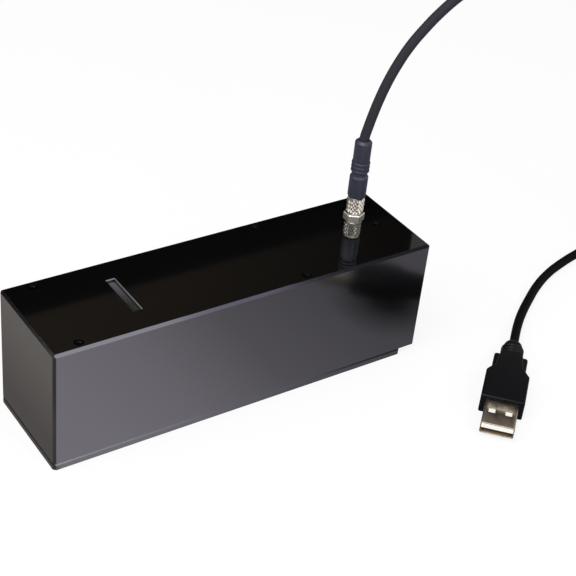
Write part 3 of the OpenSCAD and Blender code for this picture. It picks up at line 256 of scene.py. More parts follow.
# Other flags, as name, colour, size, centre, the way that one faces, and two places along X where one fades
FLAGS = [
    ("grey_flag", "#77736e", (1.4, 1.5), (0.92, 0.15, 0.75), (0, -1, 0), None),
    ("side_flag", "#b0aec6", (0.46, 0.5), (0.53, -0.46, 0.57), (-0.56, 0.53, -0.63), (0.3, 0.46)),
    ("edge_flag", "#d4d1ee", (0.42, 0.4), (0.2, -0.52, 0.63), (-0.36, 0.6, -0.71), None),
    ("left_flag", "#6f685e", (0.9, 0.5), (-0.9, 0.1, 0.25), (1, 0, 0), None),
    ("camera_flag", "#4a4845", (0.16, 0.6), (-0.6, -0.85, 0.3), (0.6, 0.85, 0), None),
]
# Softboxes, as name, place, the point that one faces, width, and the setting that holds its power
SOFTBOXES = [
    ("front_softbox", (0.16, -0.46, 0.57), (-0.03, 0, 0.03), 0.24, "key_power"),
    ("front_glint", (0.08, -0.62, 0.52), (0.06, 0, 0.05), 0.12, "glint_power"),
    ("left_glint", (-0.64, 0.05, 0.56), (0.06, 0, 0.05), 0.12, "glint_power"),
    ("top_softbox", (-0.35, -0.2, 0.8), (0, 0, 0.02), 0.5, "fill_power"),
]


def linear(code):
    """Turns an sRGB hex colour into the linear values that Blender works in."""
    parts = [int(code[i:i + 2], 16) / 255 for i in (1, 3, 5)]
    return [c / 12.92 if c <= 0.04045 else ((c + 0.055) / 1.055) ** 2.4 for c in parts]


def colour_property(name, description, code):
    """A colour swatch whose default is an sRGB hex value."""
    return FloatVectorProperty(
        name=name, description=description, subtype="COLOR", size=3, min=0, max=1, default=linear(code)
    )


def length_property(name, description, millimetres):
    """A length field whose default is given in millimetres."""
    return FloatProperty(
        name=name, description=description, unit="LENGTH", subtype="DISTANCE", min=0, precision=5,
        default=millimetres * MM
    )


class TesterLeadSizes(PropertyGroup):
    """Sizes of the lead and its coil"""

    diameter: length_property("Diameter", "Outer diameter of the lead's jacket", 3.6)
    coil_radius: length_property("Coil radius", "Radius of the coil at the middle of its turns", 19.54)
    coil_pitch: length_property("Coil pitch", "Distance between neighbouring turns", 3.7)
    length: length_property("Length", "Length of the whole lead", 1480)


class TesterPlugSizes(PropertyGroup):
    """Sizes of the round plug and the USB plug"""

    # The knurl is drawn coarser and deeper than the real one, whose diamonds are too fine to show
    knurl_columns: IntProperty(
        name="Knurl columns", description="Half diamonds round the coupling ring", default=30, min=24, max=120
    )
    knurl_depth: length_property("Knurl depth", "Depth of the knurl's grooves", 0.45)
    knurl_flat: length_property("Knurl flat", "How far the diamonds' points are cut back", 0.2)
    grip_round: length_property("Grip rounding", "Rounding of the round plug's edges", 0.14)
    usb_round: length_property("USB rounding", "Rounding of the USB plug's edges", 0.6)
    ear_round: length_property("Ear rounding", "Rounding of the USB plug's two ears", 0.9)
    shell_round: length_property("Shell corner", "Corner radius of the tin shell", 0.6)
    shell_lead_in: length_property("Shell lead-in", "How far the shell's mouth is drawn in", 0.08)


class TesterColours(PropertyGroup):
    """Colours of the finishes that show"""

    anodise: colour_property("Anodise", "Black anodised housing and base plate", "#09090a")
    screws: colour_property("Screws", "Blackened case screws", "#1b1b1d")
    window: colour_property("Light window", "Smoked window in the slot", "#2b2c29")
    # The frosting colour is painted light that makes the window's rear end paler
    window_painted_light: colour_property("Frosting", "Frosted rear end of the light window", "#55555d")
    nickel: colour_property("Nickel", "Plated nut, ring and socket", "#f1ebe1")
    grip: colour_property("Round grip", "Moulded grip of the round plug", "#282b3b")
    # The jacket's colour at the plug is painted light, lighter than the jacket on the table
    jacket_high_painted_light: colour_property("Jacket at the plug", "Dull jacket near the round plug", "#2f2f35")
    jacket_low: colour_property("Jacket on the table", "Glossy jacket near the USB plug", "#0a0a0b")
    usb: colour_property("USB grip", "Moulded grip of the USB plug", "#0c0c10")
    tongue: colour_property("USB tongue", "Moulded tongue in the USB plug", "#f2f0ea")
    tin: colour_property("USB shell", "Tin-plated shell of the USB plug", "#b3a796")
    # The brown inside the shell is painted warm light
    tin_inside_painted_light: colour_property("USB shell inside", "Oxidised inside of the USB plug's shell", "#8a735a")
    strap: colour_property("Strap", "Woven strap round the coil", "#1d1d20")


class TesterStage(PropertyGroup):
    """Light and background"""

    floor: colour_property("Floor", "Pale studio floor", "#f4f4f4")
    key_power: FloatProperty(
        name="Key", description="Power of the front softbox", unit="POWER", default=0.15, min=0
    )
    fill_power: FloatProperty(
        name="Fill", description="Power of the overhead softbox", unit="POWER", default=4.0, min=0
    )
    glint_power: FloatProperty(
        name="Glint", description="Power of each of the two small lamps that draw bright lines on the metal",
        unit="POWER", default=0.9, min=0
    )
    sky: FloatProperty(name="Sky", description="Level of the light from all round", default=0.6, min=0)


class TesterSettings(PropertyGroup):
    """All settings of the tester's add-on"""

    lead: PointerProperty(type=TesterLeadSizes)
    plugs: PointerProperty(type=TesterPlugSizes)
    colours: PointerProperty(type=TesterColours)
    stage: PointerProperty(type=TesterStage)


def settings():
    """The tester's settings in the open scene."""
    return bpy.context.scene.tester


def opaque(colour):
    """A linear colour with full alpha, as a shader socket takes it."""
    return (*colour[:3], 1.0)


def shaded(colour, factor):
    """The same colour, darker or lighter by a factor."""
    return (*[min(1.0, c * factor) for c in colour[:3]], 1.0)


def add_node(tree, kind, inputs=None, **attributes):
    """Adds a node, sets its attributes and fills its inputs with values or links."""
    node = tree.nodes.new(kind)
    for key, value in attributes.items():
        setattr(node, key, value)
    for key, value in (inputs or {}).items():
        if isinstance(value, bpy.types.NodeSocket):
            tree.links.new(value, node.inputs[key])
        else:
            node.inputs[key].default_value = value
    return node


def place_on(tree):
    """Places on the object, in metres."""
    return add_node(tree, "ShaderNodeTexCoord").outputs["Object"]


def axes_of(tree):
    """The X, Y and Z of places on the object, in metres."""
    return add_node(tree, "ShaderNodeSeparateXYZ", {"Vector": place_on(tree)}).outputs


def ramp(tree, value, span, levels=(0.0, 1.0)):
    """Takes a value that runs over a span to a level between two."""
    return add_node(
        tree, "ShaderNodeMapRange",
        {"Value": value, "From Min": span[0], "From Max": span[1], "To Min": levels[0], "To Max": levels[1]}
    ).outputs[0]


def calc(tree, operation, first, second):
    """Result of an operation on two values."""
    return add_node(tree, "ShaderNodeMath", {0: first, 1: second}, operation=operation).outputs[0]


def mixed(tree, share, first, second):
    """A colour between two, by a share."""
    return add_node(tree, "ShaderNodeMix", {0: share, 6: first, 7: second}, data_type="RGBA").outputs[2]


def bare_material(name):
    """A new material without nodes, and its node tree."""
    material = bpy.data.materials.new(name)
    material.use_nodes = True
    material.node_tree.nodes.clear()
    return material, material.node_tree


def shader_of(material):
    """The material's main shader."""
    return material.node_tree.nodes["Principled BSDF"]


def surface(name, colour, roughness, spread=0.05, metallic=0.0, ior=None, tone=0.85, tone_mm=6.0,
            grain_mm=0.5, grain_scale=(1, 1, 1), bump_mm=0.004):
    """A finish with broad patches of tone and a fine grain that moves its gloss and its height.

    A real grain finer than about 0.1 mm is drawn coarser than it is, so that it shows.
    """
    material = bpy.data.materials.new(name)
    material.use_nodes = True
    tree = material.node_tree
    shader = shader_of(material)
    shader.inputs["Metallic"].default_value = metallic
    if ior:
        shader.inputs["IOR"].default_value = ior
    place = place_on(tree)
    patches = add_node(
        tree, "ShaderNodeTexNoise", {"Vector": place, "Scale": 1 / (tone_mm * MM), "Detail": 2.0}
    )
    base = mixed(tree, patches.outputs["Fac"], shaded(colour, tone), opaque(colour))
    tree.links.new(base, shader.inputs["Base Color"])
    drawn = add_node(tree, "ShaderNodeMapping", {"Vector": place, "Scale": grain_scale}).outputs[0]
    grain = add_node(
        tree, "ShaderNodeTexNoise", {"Vector": drawn, "Scale": 1 / (grain_mm * MM), "Detail": 3.0}
    ).outputs["Fac"]
    gloss = ramp(tree, grain, GRAIN_RANGE, (roughness - spread, roughness + spread))
    tree.links.new(gloss, shader.inputs["Roughness"])
    bump = add_node(tree, "ShaderNodeBump", {"Height": grain, "Distance": bump_mm * MM, "Strength": 1.0})
    tree.links.new(bump.outputs[0], shader.inputs["Normal"])
    return material


def dress(material, *names):
    """Gives CAD nodes a finish through their material slots."""
    for name in names:
        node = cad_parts[name]
        if not node.material_slots:
            node.data.materials.append(material)
        for slot in node.material_slots:
            slot.material = material


def make_piece(name, bm, material, body, smooth_deg=35.0):
    """Makes a piece from a bmesh, shades it and lets it ride on a CAD body, or on none."""
    mesh = bpy.data.meshes.new(name)
    bm.to_mesh(mesh)
    bm.free()
    mesh.materials.append(material)
    mesh.polygons.foreach_set("use_smooth", [True] * len(mesh.polygons))
    mesh.set_sharp_from_angle(angle=math.radians(smooth_deg))
    piece = bpy.data.objects.new(name, mesh)
    bpy.context.scene.collection.objects.link(piece)
    if body:
        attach(piece, body)
    return piece


def spin_profile(bm, profile, axis, steps, closed=False):
    """Turns a profile of (distance from the axis, place along it) in millimetres about X or Z."""
    along = Vector(axis)
    out = Vector((0, 0, 1)) if along.x else Vector((1, 0, 0))
    verts = [bm.verts.new((out * r + along * h) * MM) for r, h in profile]
    ends = verts + verts[:1] if closed else verts
    edges = [bm.edges.new(pair) for pair in zip(ends, ends[1:])]
    bmesh.ops.spin(
        bm, geom=verts + edges, cent=(0, 0, 0), axis=along, dvec=(0, 0, 0), angle=TURN, steps=steps,
        use_merge=True, use_duplicate=False
    )
    bmesh.ops.remove_doubles(bm, verts=bm.verts, dist=MERGE)
    bmesh.ops.recalc_face_normals(bm, faces=bm.faces)


def round_edges(bm, edges, offset, segments):
    """Rounds edges with a true arc."""
    bmesh.ops.bevel(
        bm, geom=edges, offset=offset, segments=segments, profile=0.5, affect="EDGES", material=-1,
        clamp_overlap=True
    )


def sharp_edges(bm, degrees):
    """The edges whose two faces meet at more than an angle."""
    limit = math.radians(degrees)
    return [e for e in bm.edges if len(e.link_faces) == 2 and e.calc_face_angle() > limit]


def cut_across(bm, place, normal):
    """Cuts all faces along a plane through a place in millimetres."""
    bmesh.ops.bisect_plane(
        bm, geom=bm.verts[:] + bm.edges[:] + bm.faces[:], dist=MERGE, plane_co=Vector(place) * MM,
        plane_no=normal
    )


def open_sleeve(bm, box, axis, radius, segments):
    """A box without the two faces across an axis, and with rounded edges along it."""
    bmesh.ops.create_cube(bm, size=1, matrix=box)
    ends = [f for f in bm.faces if abs(f.normal[axis]) > 0.5]
    bmesh.ops.delete(bm, geom=ends, context="FACES_ONLY")
    long_edges = [e for e in bm.edges if abs((e.verts[0].co - e.verts[1].co)[axis]) > MERGE]
    round_edges(bm, long_edges, radius, segments)


def pull_faces(bm, faces, way):
    """Extrudes faces a way in millimetres."""
    pulled = bmesh.ops.extrude_face_region(bm, geom=faces)
    far = [v for v in pulled["geom"] if isinstance(v, bmesh.types.BMVert)]
    bmesh.ops.translate(bm, verts=far, vec=Vector(way) * MM)


def extrude_outline(bm, outline, way):
    """Pulls a flat outline a way into a closed solid, all in millimetres."""
    face = bm.faces.new([bm.verts.new(Vector(place) * MM) for place in outline])
    pull_faces(bm, [face], way)
    bmesh.ops.recalc_face_normals(bm, faces=bm.faces)


def turn_from_flat(vert, start_deg=0):
    """Angle of a vertex from the middle of its flat, in a hexagon with a corner at a start angle."""
    return (math.atan2(vert.co.y, vert.co.x) - math.radians(start_deg)) % (TURN / 6) - TURN / 12


def black_anodise():
    """Black anodised aluminium: near black with a fine satin grain, and a top polished finer than the sides.

    The metal under the oxide adds to the reflection, so it is stronger than the oxide's own index would give.
    """
    material = surface(
        "black_anodised_aluminium", settings().colours.anodise, 0.13, spread=0.015, ior=2.3, tone=0.8,
        tone_mm=14.0, grain_mm=0.35, bump_mm=0.0003
    )
    tree = material.node_tree
    gloss = shader_of(material).inputs["Roughness"]
    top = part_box("housing")[1].z
    polish = ramp(tree, axes_of(tree)["Z"], [top - d * MM for d in POLISH_DEPTHS], (1.0, TOP_POLISH))
    tree.links.new(calc(tree, "MULTIPLY", gloss.links[0].from_socket, polish), gloss)
    return material


def black_oxide():
    """Blackened steel: a dark metal with a slight oily sheen."""
    return surface(
        "blackened_steel", settings().colours.screws, 0.32, metallic=1.0, tone=0.75, tone_mm=1.2,
        grain_mm=0.15, bump_mm=0.002
    )


def smoked_acrylic():
    """Smoked acrylic: a smooth dark window, with painted light that turns it a paler grey towards the rear.
    """
    material = surface(
        "smoked_acrylic", settings().colours.window, 0.25, ior=1.49, tone=0.8, tone_mm=5.0, grain_mm=0.6,
        bump_mm=0.002
    )
    tree = material.node_tree
    base = shader_of(material).inputs["Base Color"]
    # Painted light: the window is painted paler towards the rear
    window_painted_light = ramp(tree, axes_of(tree)["Y"], [y * MM for y in WINDOW_PAINTED_LIGHT_SPAN])
    mix = mixed(tree, window_painted_light, base.links[0].from_socket, opaque(settings().colours.window_painted_light))
    tree.links.new(mix, base)
    return material


def nickel_plate():
    """Bright nickel plate on turned brass: a warm mirror with faint turning marks round the axis."""
    return surface(
        "bright_nickel_plate", settings().colours.nickel, 0.14, spread=0.04, metallic=1.0, tone=0.9,
        tone_mm=2.0, grain_mm=0.12, grain_scale=(0.1, 0.1, 1.0), bump_mm=0.0008
    )


def satin_nickel():
    """Nickel plate on a pressed nut: duller than the turned ring, so that its flats catch broad light."""
    return surface(
        "satin_nickel_plate", settings().colours.nickel, 0.3, spread=0.06, metallic=1.0, tone=0.85,
        tone_mm=1.5, grain_mm=0.15, bump_mm=0.001
    )


def soft_pvc():
    """Soft PVC moulded round the plug: bluish dark grey, dull, with a fine sparked texture from the mould."""
    return surface(
        "moulded_soft_pvc", settings().colours.grip, 0.45, ior=1.53, tone=0.85, tone_mm=3.0, grain_mm=0.18,
        bump_mm=0.006
    )


def glossy_pvc():
    """Glossy PVC moulded round the USB plug: near black with a clean polish on its edges."""
    material = surface(
        "moulded_black_pvc", settings().colours.usb, 0.3, ior=1.53, tone=0.85, tone_mm=5.0, grain_mm=0.25,
        bump_mm=0.003
    )
    shader_of(material).inputs["Specular IOR Level"].default_value = USB_SPECULAR
    return material


def tin_plate():
    """Tin-plated spring steel: a soft warm mirror with faint rolling lines."""
    return surface(
        "tin_plated_steel", settings().colours.tin, 0.36, metallic=1.0, tone=0.9, tone_mm=3.0, grain_mm=0.2,
        grain_scale=(0.2, 1.0, 1.0), bump_mm=0.0008
    )


def painted_light_tin():
    """Inside of the USB shell: dull and painted brown as painted warm light, so that the open mouth isn't
    black.
    """
    return surface(
        "oxidised_tin", settings().colours.tin_inside_painted_light, 0.6, tone=0.7, tone_mm=1.5, grain_mm=0.2,
        grain_scale=(0.2, 1.0, 1.0)
    )


def lead_jacket():
    """Extruded PVC jacket: near black where it lies on the table, with painted light that turns it a lighter
    grey higher up, by the round plug.
    """
    colours = settings().colours
    material = surface(
        "extruded_pvc_jacket", colours.jacket_low, 0.5, ior=1.53, tone=0.9, tone_mm=8.0, grain_mm=0.3,
        bump_mm=0.003
    )
    tree = material.node_tree
    shader = shader_of(material)
    shader.inputs["Specular IOR Level"].default_value = LEAD_SPECULAR
    base = shader.inputs["Base Color"]
    # Painted light: the jacket is painted lighter grey higher up
    rise = ramp(tree, axes_of(tree)["Z"], [h * MM for h in JACKET_PAINTED_LIGHT_HEIGHTS])
    mix = mixed(tree, rise, base.links[0].from_socket, opaque(colours.jacket_high_painted_light))
    tree.links.new(mix, base)
    return material


def woven_strap():
    """Woven nylon strap: threads 0.5 mm apart, crossed by slanting ones, that break up the light."""
    material = surface(
        "woven_nylon_strap", settings().colours.strap, 0.75, ior=1.53, tone=0.7, tone_mm=2.0, grain_mm=0.2
    )
    tree = material.node_tree
    place = place_on(tree)
    thread = TURN / (WAVE_RATE * THREAD_PITCH * MM)
    across, aslant = [
        add_node(
            tree, "ShaderNodeTexWave", {"Vector": place, "Scale": thread}, wave_type="BANDS",
            bands_direction=way
        ).outputs["Fac"]
        for way in ("Y", "DIAGONAL")
    ]
    weave = calc(tree, "MULTIPLY", across, aslant)
    bump = add_node(tree, "ShaderNodeBump", {"Height": weave, "Distance": THREAD_H * MM})
    tree.links.new(bump.outputs[0], shader_of(material).inputs["Normal"])
    return material


def solder_mask():
    """Green solder mask: a glossy lacquer over tracks that show as lighter lines 2 mm apart."""
    material = surface("green_solder_mask", linear(MASK_GREEN), 0.25, ior=1.5, tone=0.8, tone_mm=9.0)
    tree = material.node_tree
    tracks = add_node(
        tree, "ShaderNodeTexBrick",
        {"Vector": place_on(tree), "Color1": opaque(linear(MASK_GREEN)),
         "Color2": opaque(linear("#175c35")), "Mortar": opaque(linear("#2f7d4d")),
         "Scale": BRICK_ROW / (TRACK_PITCH * MM), "Mortar Size": BRICK_JOINT}
    )
    tree.links.new(tracks.outputs["Color"], shader_of(material).inputs["Base Color"])
    return material


def spring_steel():
    """Drawn spring wire: bright steel with a slightly grey skin."""
    return surface(
        "drawn_spring_steel", linear("#b7bac0"), 0.24, metallic=1.0, tone_mm=1.0, grain_mm=0.1
    )


def white_nylon():
    """Moulded nylon of the USB plug's tongue: dull and off-white, with a faint mould grain."""
    return surface(
        "moulded_white_nylon", settings().colours.tongue, 0.45, ior=1.53, tone=0.96, tone_mm=2.0, grain_mm=0.2
    )


# Finishes of the works inside, as name, colour, metallic, roughness, grain in millimetres, the grain's scale
# along each axis, and the nodes
INSIDE_FINISHES = [
    # Milled aluminium: cutter marks run along the travel and stretch the highlights
    ("milled_aluminium", "#b9bbbe", 1.0, 0.32, 0.25, (0.08, 1, 1),
     ("left_block", "right_block", "carriage", "motor_plate", "pickup_bracket", "board_bracket")),
    # Ground steel: a bright bar with faint rings round it
    ("ground_steel", "#cfd1d4", 1.0, 0.18, 0.12, (1, 0.1, 0.1),
     ("guide_rod_front", "guide_rod_rear", "lead_screw", "motor_shaft", "pivot_pin", "pickup_tube",
      "stylus_pin", "stylus_arm", "stylus_tip")),
    # Zinc plate: a cool dull metal with small cloudy patches
    ("zinc_plate", "#b4b7ba", 1.0, 0.34, 0.3, (1, 1, 1),
     ("nut_screws", "plate_screws", "board_screws", "lamp_screws", "drive_motor")),
    # Turned brass: yellow metal with fine rings from the lathe
    ("turned_brass", "#c39a4c", 1.0, 0.26, 0.14, (1, 0.1, 0.1),
     ("carriage_bushes", "drive_nut", "screw_bushes", "screw_gear", "motor_pinion", "plate_spacers",
      "board_standoffs")),
    # Moulded polyamide: black, dull and slightly grainy
    ("black_polyamide", "#1c1c1e", 0.0, 0.55, 0.25, (1, 1, 1),
     ("sensor_flag", "end_sensor", "motor_encoder", "board_parts", "pickup_holder", "socket_insert")),
    # Synthetic ruby: deep red and polished
    ("ruby", "#8c1226", 0.0, 0.08, 0.4, (1, 1, 1), ("skid",)),
    # Flat cable: brown film over copper strips
    ("polyimide_film", "#9c6a2c", 0.0, 0.35, 0.5, (0.1, 1, 1), ("lamp_flex",)),
    # Lamp epoxy: milky white
    ("lamp_epoxy", "#e9e7dc", 0.0, 0.35, 0.3, (1, 1, 1), ("lamps",)),
    # Nitrile rubber: dull black
    ("nitrile_rubber", "#151516", 0.0, 0.7, 0.2, (1, 1, 1), ("socket_seal",)),
    # Gold flash over nickel on the contacts: warm and bright
    ("gold_flash", "#b9873f", 1.0, 0.28, 0.15, (0.2, 1, 1), ("usb_contacts",)),
]


def new_stage_plane(name, size, place, facing=(0, 0, 1)):
    """A stage plane of a width and a height, with its centre at a place and its face turned a way."""
    bm = bmesh.new()
    bmesh.ops.create_grid(bm, x_segments=1, y_segments=1, size=0.5)
    turn = Vector(facing).to_track_quat("Z", "Y").to_matrix().to_4x4()
    spread = Matrix.Diagonal((*size, 1, 1))
    bmesh.ops.transform(bm, matrix=Matrix.Translation(place) @ turn @ spread, verts=bm.verts)
    mesh = bpy.data.meshes.new(name)
    bm.to_mesh(mesh)
    bm.free()
    plane = bpy.data.objects.new(name, mesh)
    bpy.context.scene.collection.objects.link(plane)
    return plane


def set_curve(node, points):
    """Lays a float curve through points with straight pieces between them."""
    curve = node.mapping.curves[0]
    while len(curve.points) < len(points):
        curve.points.new(0.5, 0.5)
    for knot, place in zip(curve.points, points):
        knot.location = place
        knot.handle_type = "VECTOR"
    node.mapping.update()


def floor_material():
    """Pale floor: white to the camera with a faint shadow, and in reflections with painted light and painted
    shade: the card's falloff, a painted shadow beside the USB plug and darker places.
    """
    material, tree = bare_material("studio_floor")
    path = add_node(tree, "ShaderNodeLightPath").outputs
    matt = add_node(tree, "ShaderNodeBsdfDiffuse", {"Color": opaque(settings().stage.floor)})
    white = add_node(tree, "ShaderNodeEmission", {"Color": (1, 1, 1, 1), "Strength": 1.0})
    axes = axes_of(tree)
    first, last = CARD_PAINTED_LIGHT_LEVELS[0][0], CARD_PAINTED_LIGHT_LEVELS[-1][0]
    # Painted light and painted shade that show only in reflections
    card = add_node(tree, "ShaderNodeFloatCurve", {"Value": ramp(tree, axes["X"], (first, last))})
    set_curve(card, [((x - first) / (last - first), y) for x, y in CARD_PAINTED_LIGHT_LEVELS])
    on_card = calc(tree, "GREATER_THAN", axes["X"], CARD_LEFT)
    corner = ramp(tree, axes["Y"], CORNER_REACH, (CORNER_PAINTED_SHADE_LEVEL, 1.0))
    from_plug = add_node(
        tree, "ShaderNodeVectorMath", {0: place_on(tree), 1: PLUG_SHADE_PLACE}, operation="DISTANCE"
    ).outputs["Value"]
    plug_shade = ramp(tree, from_plug, PLUG_SHADE_REACH, (PLUG_SHADE_LEVEL, 1.0))
    shade = ramp(tree, on_card, (0.0, 1.0), (corner, plug_shade))
    level = calc(tree, "MULTIPLY", card.outputs[0], shade)
    behind = ramp(tree, axes["Y"], BEHIND_REACH, (1.0, BEHIND_PAINTED_SHADE_LEVEL))
    strength = calc(tree, "MINIMUM", level, behind)
    tint = mixed(tree, on_card, opaque(linear(TABLE_COLOUR)), opaque(linear(CARD_COLOUR)))
    pale = add_node(tree, "ShaderNodeEmission", {"Color": tint, "Strength": strength})
    seen = calc(tree, "MULTIPLY", path["Is Camera Ray"], FLOOR_GLOW)
    shown = add_node(tree, "ShaderNodeMixShader", {0: seen, 1: matt.outputs[0], 2: white.outputs[0]})
    mirrored = calc(tree, "MAXIMUM", path["Is Glossy Ray"], path["Is Transmission Ray"])
    whole = add_node(tree, "ShaderNodeMixShader", {0: mirrored, 1: shown.outputs[0], 2: pale.outputs[0]})
    add_node(tree, "ShaderNodeOutputMaterial", {"Surface": whole.outputs[0]})
    return material


def flag_material(code, fade):
    """A studio flag that glows with painted light of one colour, which may fade to the right between two
    places along X.
    """
    material, tree = bare_material("flag_cloth")
    level = ramp(tree, axes_of(tree)["X"], fade, (1.0, FLAG_PAINTED_FADE_LEVEL)) if fade else 1.0
    painted_glow = add_node(tree, "ShaderNodeEmission", {"Color": opaque(linear(code)), "Strength": level})
    add_node(tree, "ShaderNodeOutputMaterial", {"Surface": painted_glow.outputs[0]})
    return material


def add_flag(name, code, size, place, facing, fade):
    """A flag that glows with painted light and shows only in reflections, with its centre at a place and its
    face turned a way.
    """
    flag = new_stage_plane(name, size, place, facing)
    flag.data.materials.append(flag_material(code, fade))
    flag.visible_camera = False
    flag.visible_diffuse = False
    flag.visible_transmission = False
    flag.visible_shadow = False


def add_rear_flag(name, code, x, z, fade):
    """A flag behind the tester, between two places along X and two heights."""
    middle = ((x[0] + x[1]) / 2, FLAG_Y, (z[0] + z[1]) / 2)
    add_flag(name, code, (x[1] - x[0], z[1] - z[0]), middle, (0, -1, 0), fade)


def add_softbox(name, place, aim, size, power):
    """A square softbox at a place, turned to a point."""
    light = bpy.data.lights.new(name, "AREA")
    light.shape = "SQUARE"
    light.size = size
    light.energy = power
    lamp = bpy.data.objects.new(name, light)
    lamp.location = place
    lamp.rotation_euler = (Vector(place) - Vector(aim)).to_track_quat("Z", "Y").to_euler()
    bpy.context.scene.collection.objects.link(lamp)


def set_world():
    """White behind the object and in its reflections, and a plain level of light from all round."""
    world = bpy.data.worlds.new("studio_world")
    bpy.context.scene.world = world
    world.use_nodes = True
    tree = world.node_tree
    tree.nodes.clear()
    path = add_node(tree, "ShaderNodeLightPath").outputs
    mirrored = calc(tree, "MAXIMUM", path["Is Glossy Ray"], path["Is Transmission Ray"])
    seen = calc(tree, "MAXIMUM", path["Is Camera Ray"], mirrored)
    level = ramp(tree, seen, (0.0, 1.0), (settings().stage.sky, 1.0))
    light = add_node(tree, "ShaderNodeBackground", {"Color": (1, 1, 1, 1), "Strength": level})
    add_node(tree, "ShaderNodeOutputWorld", {"Surface": light.outputs[0]})


class TESTER_OT_stage(Operator):
    """Sets up the camera, the pale floor, the flags and the soft studio light"""

    bl_idname = "tester.stage"
    bl_label = "Stage"

    def execute(self, context):
        stage = settings().stage
        scene = context.scene
        scene.view_settings.view_transform = "Standard"
        data = bpy.data.cameras.new("photo_camera")
        data.sensor_width = CAMERA_SENSOR_MM
        data.lens = CAMERA_LENS_MM
        camera = bpy.data.objects.new("photo_camera", data)
        camera.location = CAMERA_PLACE
        camera.rotation_euler = [math.radians(a) for a in CAMERA_TURN_DEG]
        scene.collection.objects.link(camera)
        scene.camera = camera
        floor = new_stage_plane("studio_floor", FLOOR_SIZE, (0, 0, 0))
        floor.data.materials.append(floor_material())
        for flag in REAR_FLAGS:
            add_rear_flag(*flag)
        for flag in FLAGS:
            add_flag(*flag)
        for name, place, aim, size, power in SOFTBOXES:
            add_softbox(name, place, aim, size, getattr(stage, power))
        set_world()
        return {"FINISHED"}


class TESTER_OT_housing(Operator):
    """Finishes the housing, the base plate, the blackened screws and the light window"""

    bl_idname = "tester.housing"
    bl_label = "Housing"

    def execute(self, context):
        dress(black_anodise(), "housing", "base_plate")
        dress(black_oxide(), "base_screws", "stop_screw")
        dress(smoked_acrylic(), "light_window")
        return {"FINISHED"}


class TESTER_OT_top_screws(Operator):
    """Turns the screws of the top, each with a hexagon socket whose mouth is chamfered"""

    bl_idname = "tester.top_screws"
    bl_label = "Top screws"

    def execute(self, context):
        head, shank = SCREW_HEAD_D / 2, SCREW_D / 2
        flat = SOCKET_AF / 2
        mouth = flat + SOCKET_CHAMFER
        profile = [(0, -SOCKET_DEPTH), (flat, -SOCKET_DEPTH), (flat, -SOCKET_CHAMFER), (mouth, 0)]
        profile += [(head - HEAD_CHAMFER, 0), (head, -HEAD_CHAMFER), (head, -HEAD_RIM)]
        profile += [(shank, shank - head - HEAD_RIM), (shank, -SCREW_L), (0, -SCREW_L)]
        bm = bmesh.new()
        spin_profile(bm, profile, (0, 0, 1), SCREW_STEPS)
        for vert in bm.verts:
            radius = math.hypot(vert.co.x, vert.co.y)
            if 0 < radius < (mouth + NEAR) * MM and vert.co.z > -(SOCKET_DEPTH + NEAR) * MM:
                stretch = 1 / math.cos(turn_from_flat(vert))
                vert.co.x *= stretch
                vert.co.y *= stretch
        one = bpy.data.meshes.new("one_screw")
        bm.to_mesh(one)
        bm.clear()
        for x, y in SCREW_PLACES:
            count = len(bm.verts)
            bm.from_mesh(one)
            bm.verts.ensure_lookup_table()
            bmesh.ops.translate(bm, verts=bm.verts[count:], vec=Vector((x, y, SCREW_TOP)) * MM)
        bpy.data.meshes.remove(one)
        screws = make_piece("socket_screws", bm, black_oxide(), "root", smooth_deg=25)
        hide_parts("top_screws")
        return {"FINISHED"}


class TESTER_OT_works(Operator):
    """Finishes the traverse drive, the pickup and the electronics inside the housing"""

    bl_idname = "tester.works"
    bl_label = "Works inside"

    def execute(self, context):
        for name, code, metallic, roughness, grain_mm, grain_scale, nodes in INSIDE_FINISHES:
            finish = surface(
                name, linear(code), roughness, metallic=metallic, tone_mm=3.0, grain_mm=grain_mm,
                grain_scale=grain_scale
            )
            dress(finish, *nodes)
        dress(solder_mask(), "lamp_board", "main_board")
        return {"FINISHED"}


class TESTER_OT_pickup_spring(Operator):
    """Winds the pickup's spring in the place of the CAD spring"""

    bl_idname = "tester.pickup_spring"
    bl_label = "Pickup spring"

    def execute(self, context):
        low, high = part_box("pickup_spring")
        wire = SPRING_WIRE_D / 2 * MM
        radius = (high.x - low.x) / 2 - wire
        middle = (low + high) / 2
        rise = high.z - low.z - 2 * wire
        steps = SPRING_TURNS * SPRING_STEPS_PER_TURN
        bm = bmesh.new()
        upright = Matrix.Translation((radius, 0, 0)) @ Matrix.Rotation(TURN / 4, 4, "X")
        bmesh.ops.create_circle(bm, segments=SPRING_SIDES, radius=wire, matrix=upright)
        bmesh.ops.spin(
            bm, geom=bm.verts[:] + bm.edges[:], cent=(0, 0, 0), axis=(0, 0, 1), dvec=(0, 0, rise / steps),
            angle=SPRING_TURNS * TURN, steps=steps, use_merge=False, use_duplicate=False
        )
        bmesh.ops.holes_fill(bm, edges=[e for e in bm.edges if e.is_boundary], sides=SPRING_SIDES)
        bmesh.ops.recalc_face_normals(bm, faces=bm.faces)
        bmesh.ops.translate(bm, verts=bm.verts, vec=(middle.x, middle.y, low.z + wire))
        spring = make_piece("wound_spring", bm, spring_steel(), None, smooth_deg=60)
        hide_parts("pickup_spring")
        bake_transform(spring)
        return {"FINISHED"}


def centre_of(node):
    """The middle of a CAD node's foot."""
    low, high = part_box(node)
    return Vector(((low.x + high.x) / 2, (low.y + high.y) / 2, low.z))


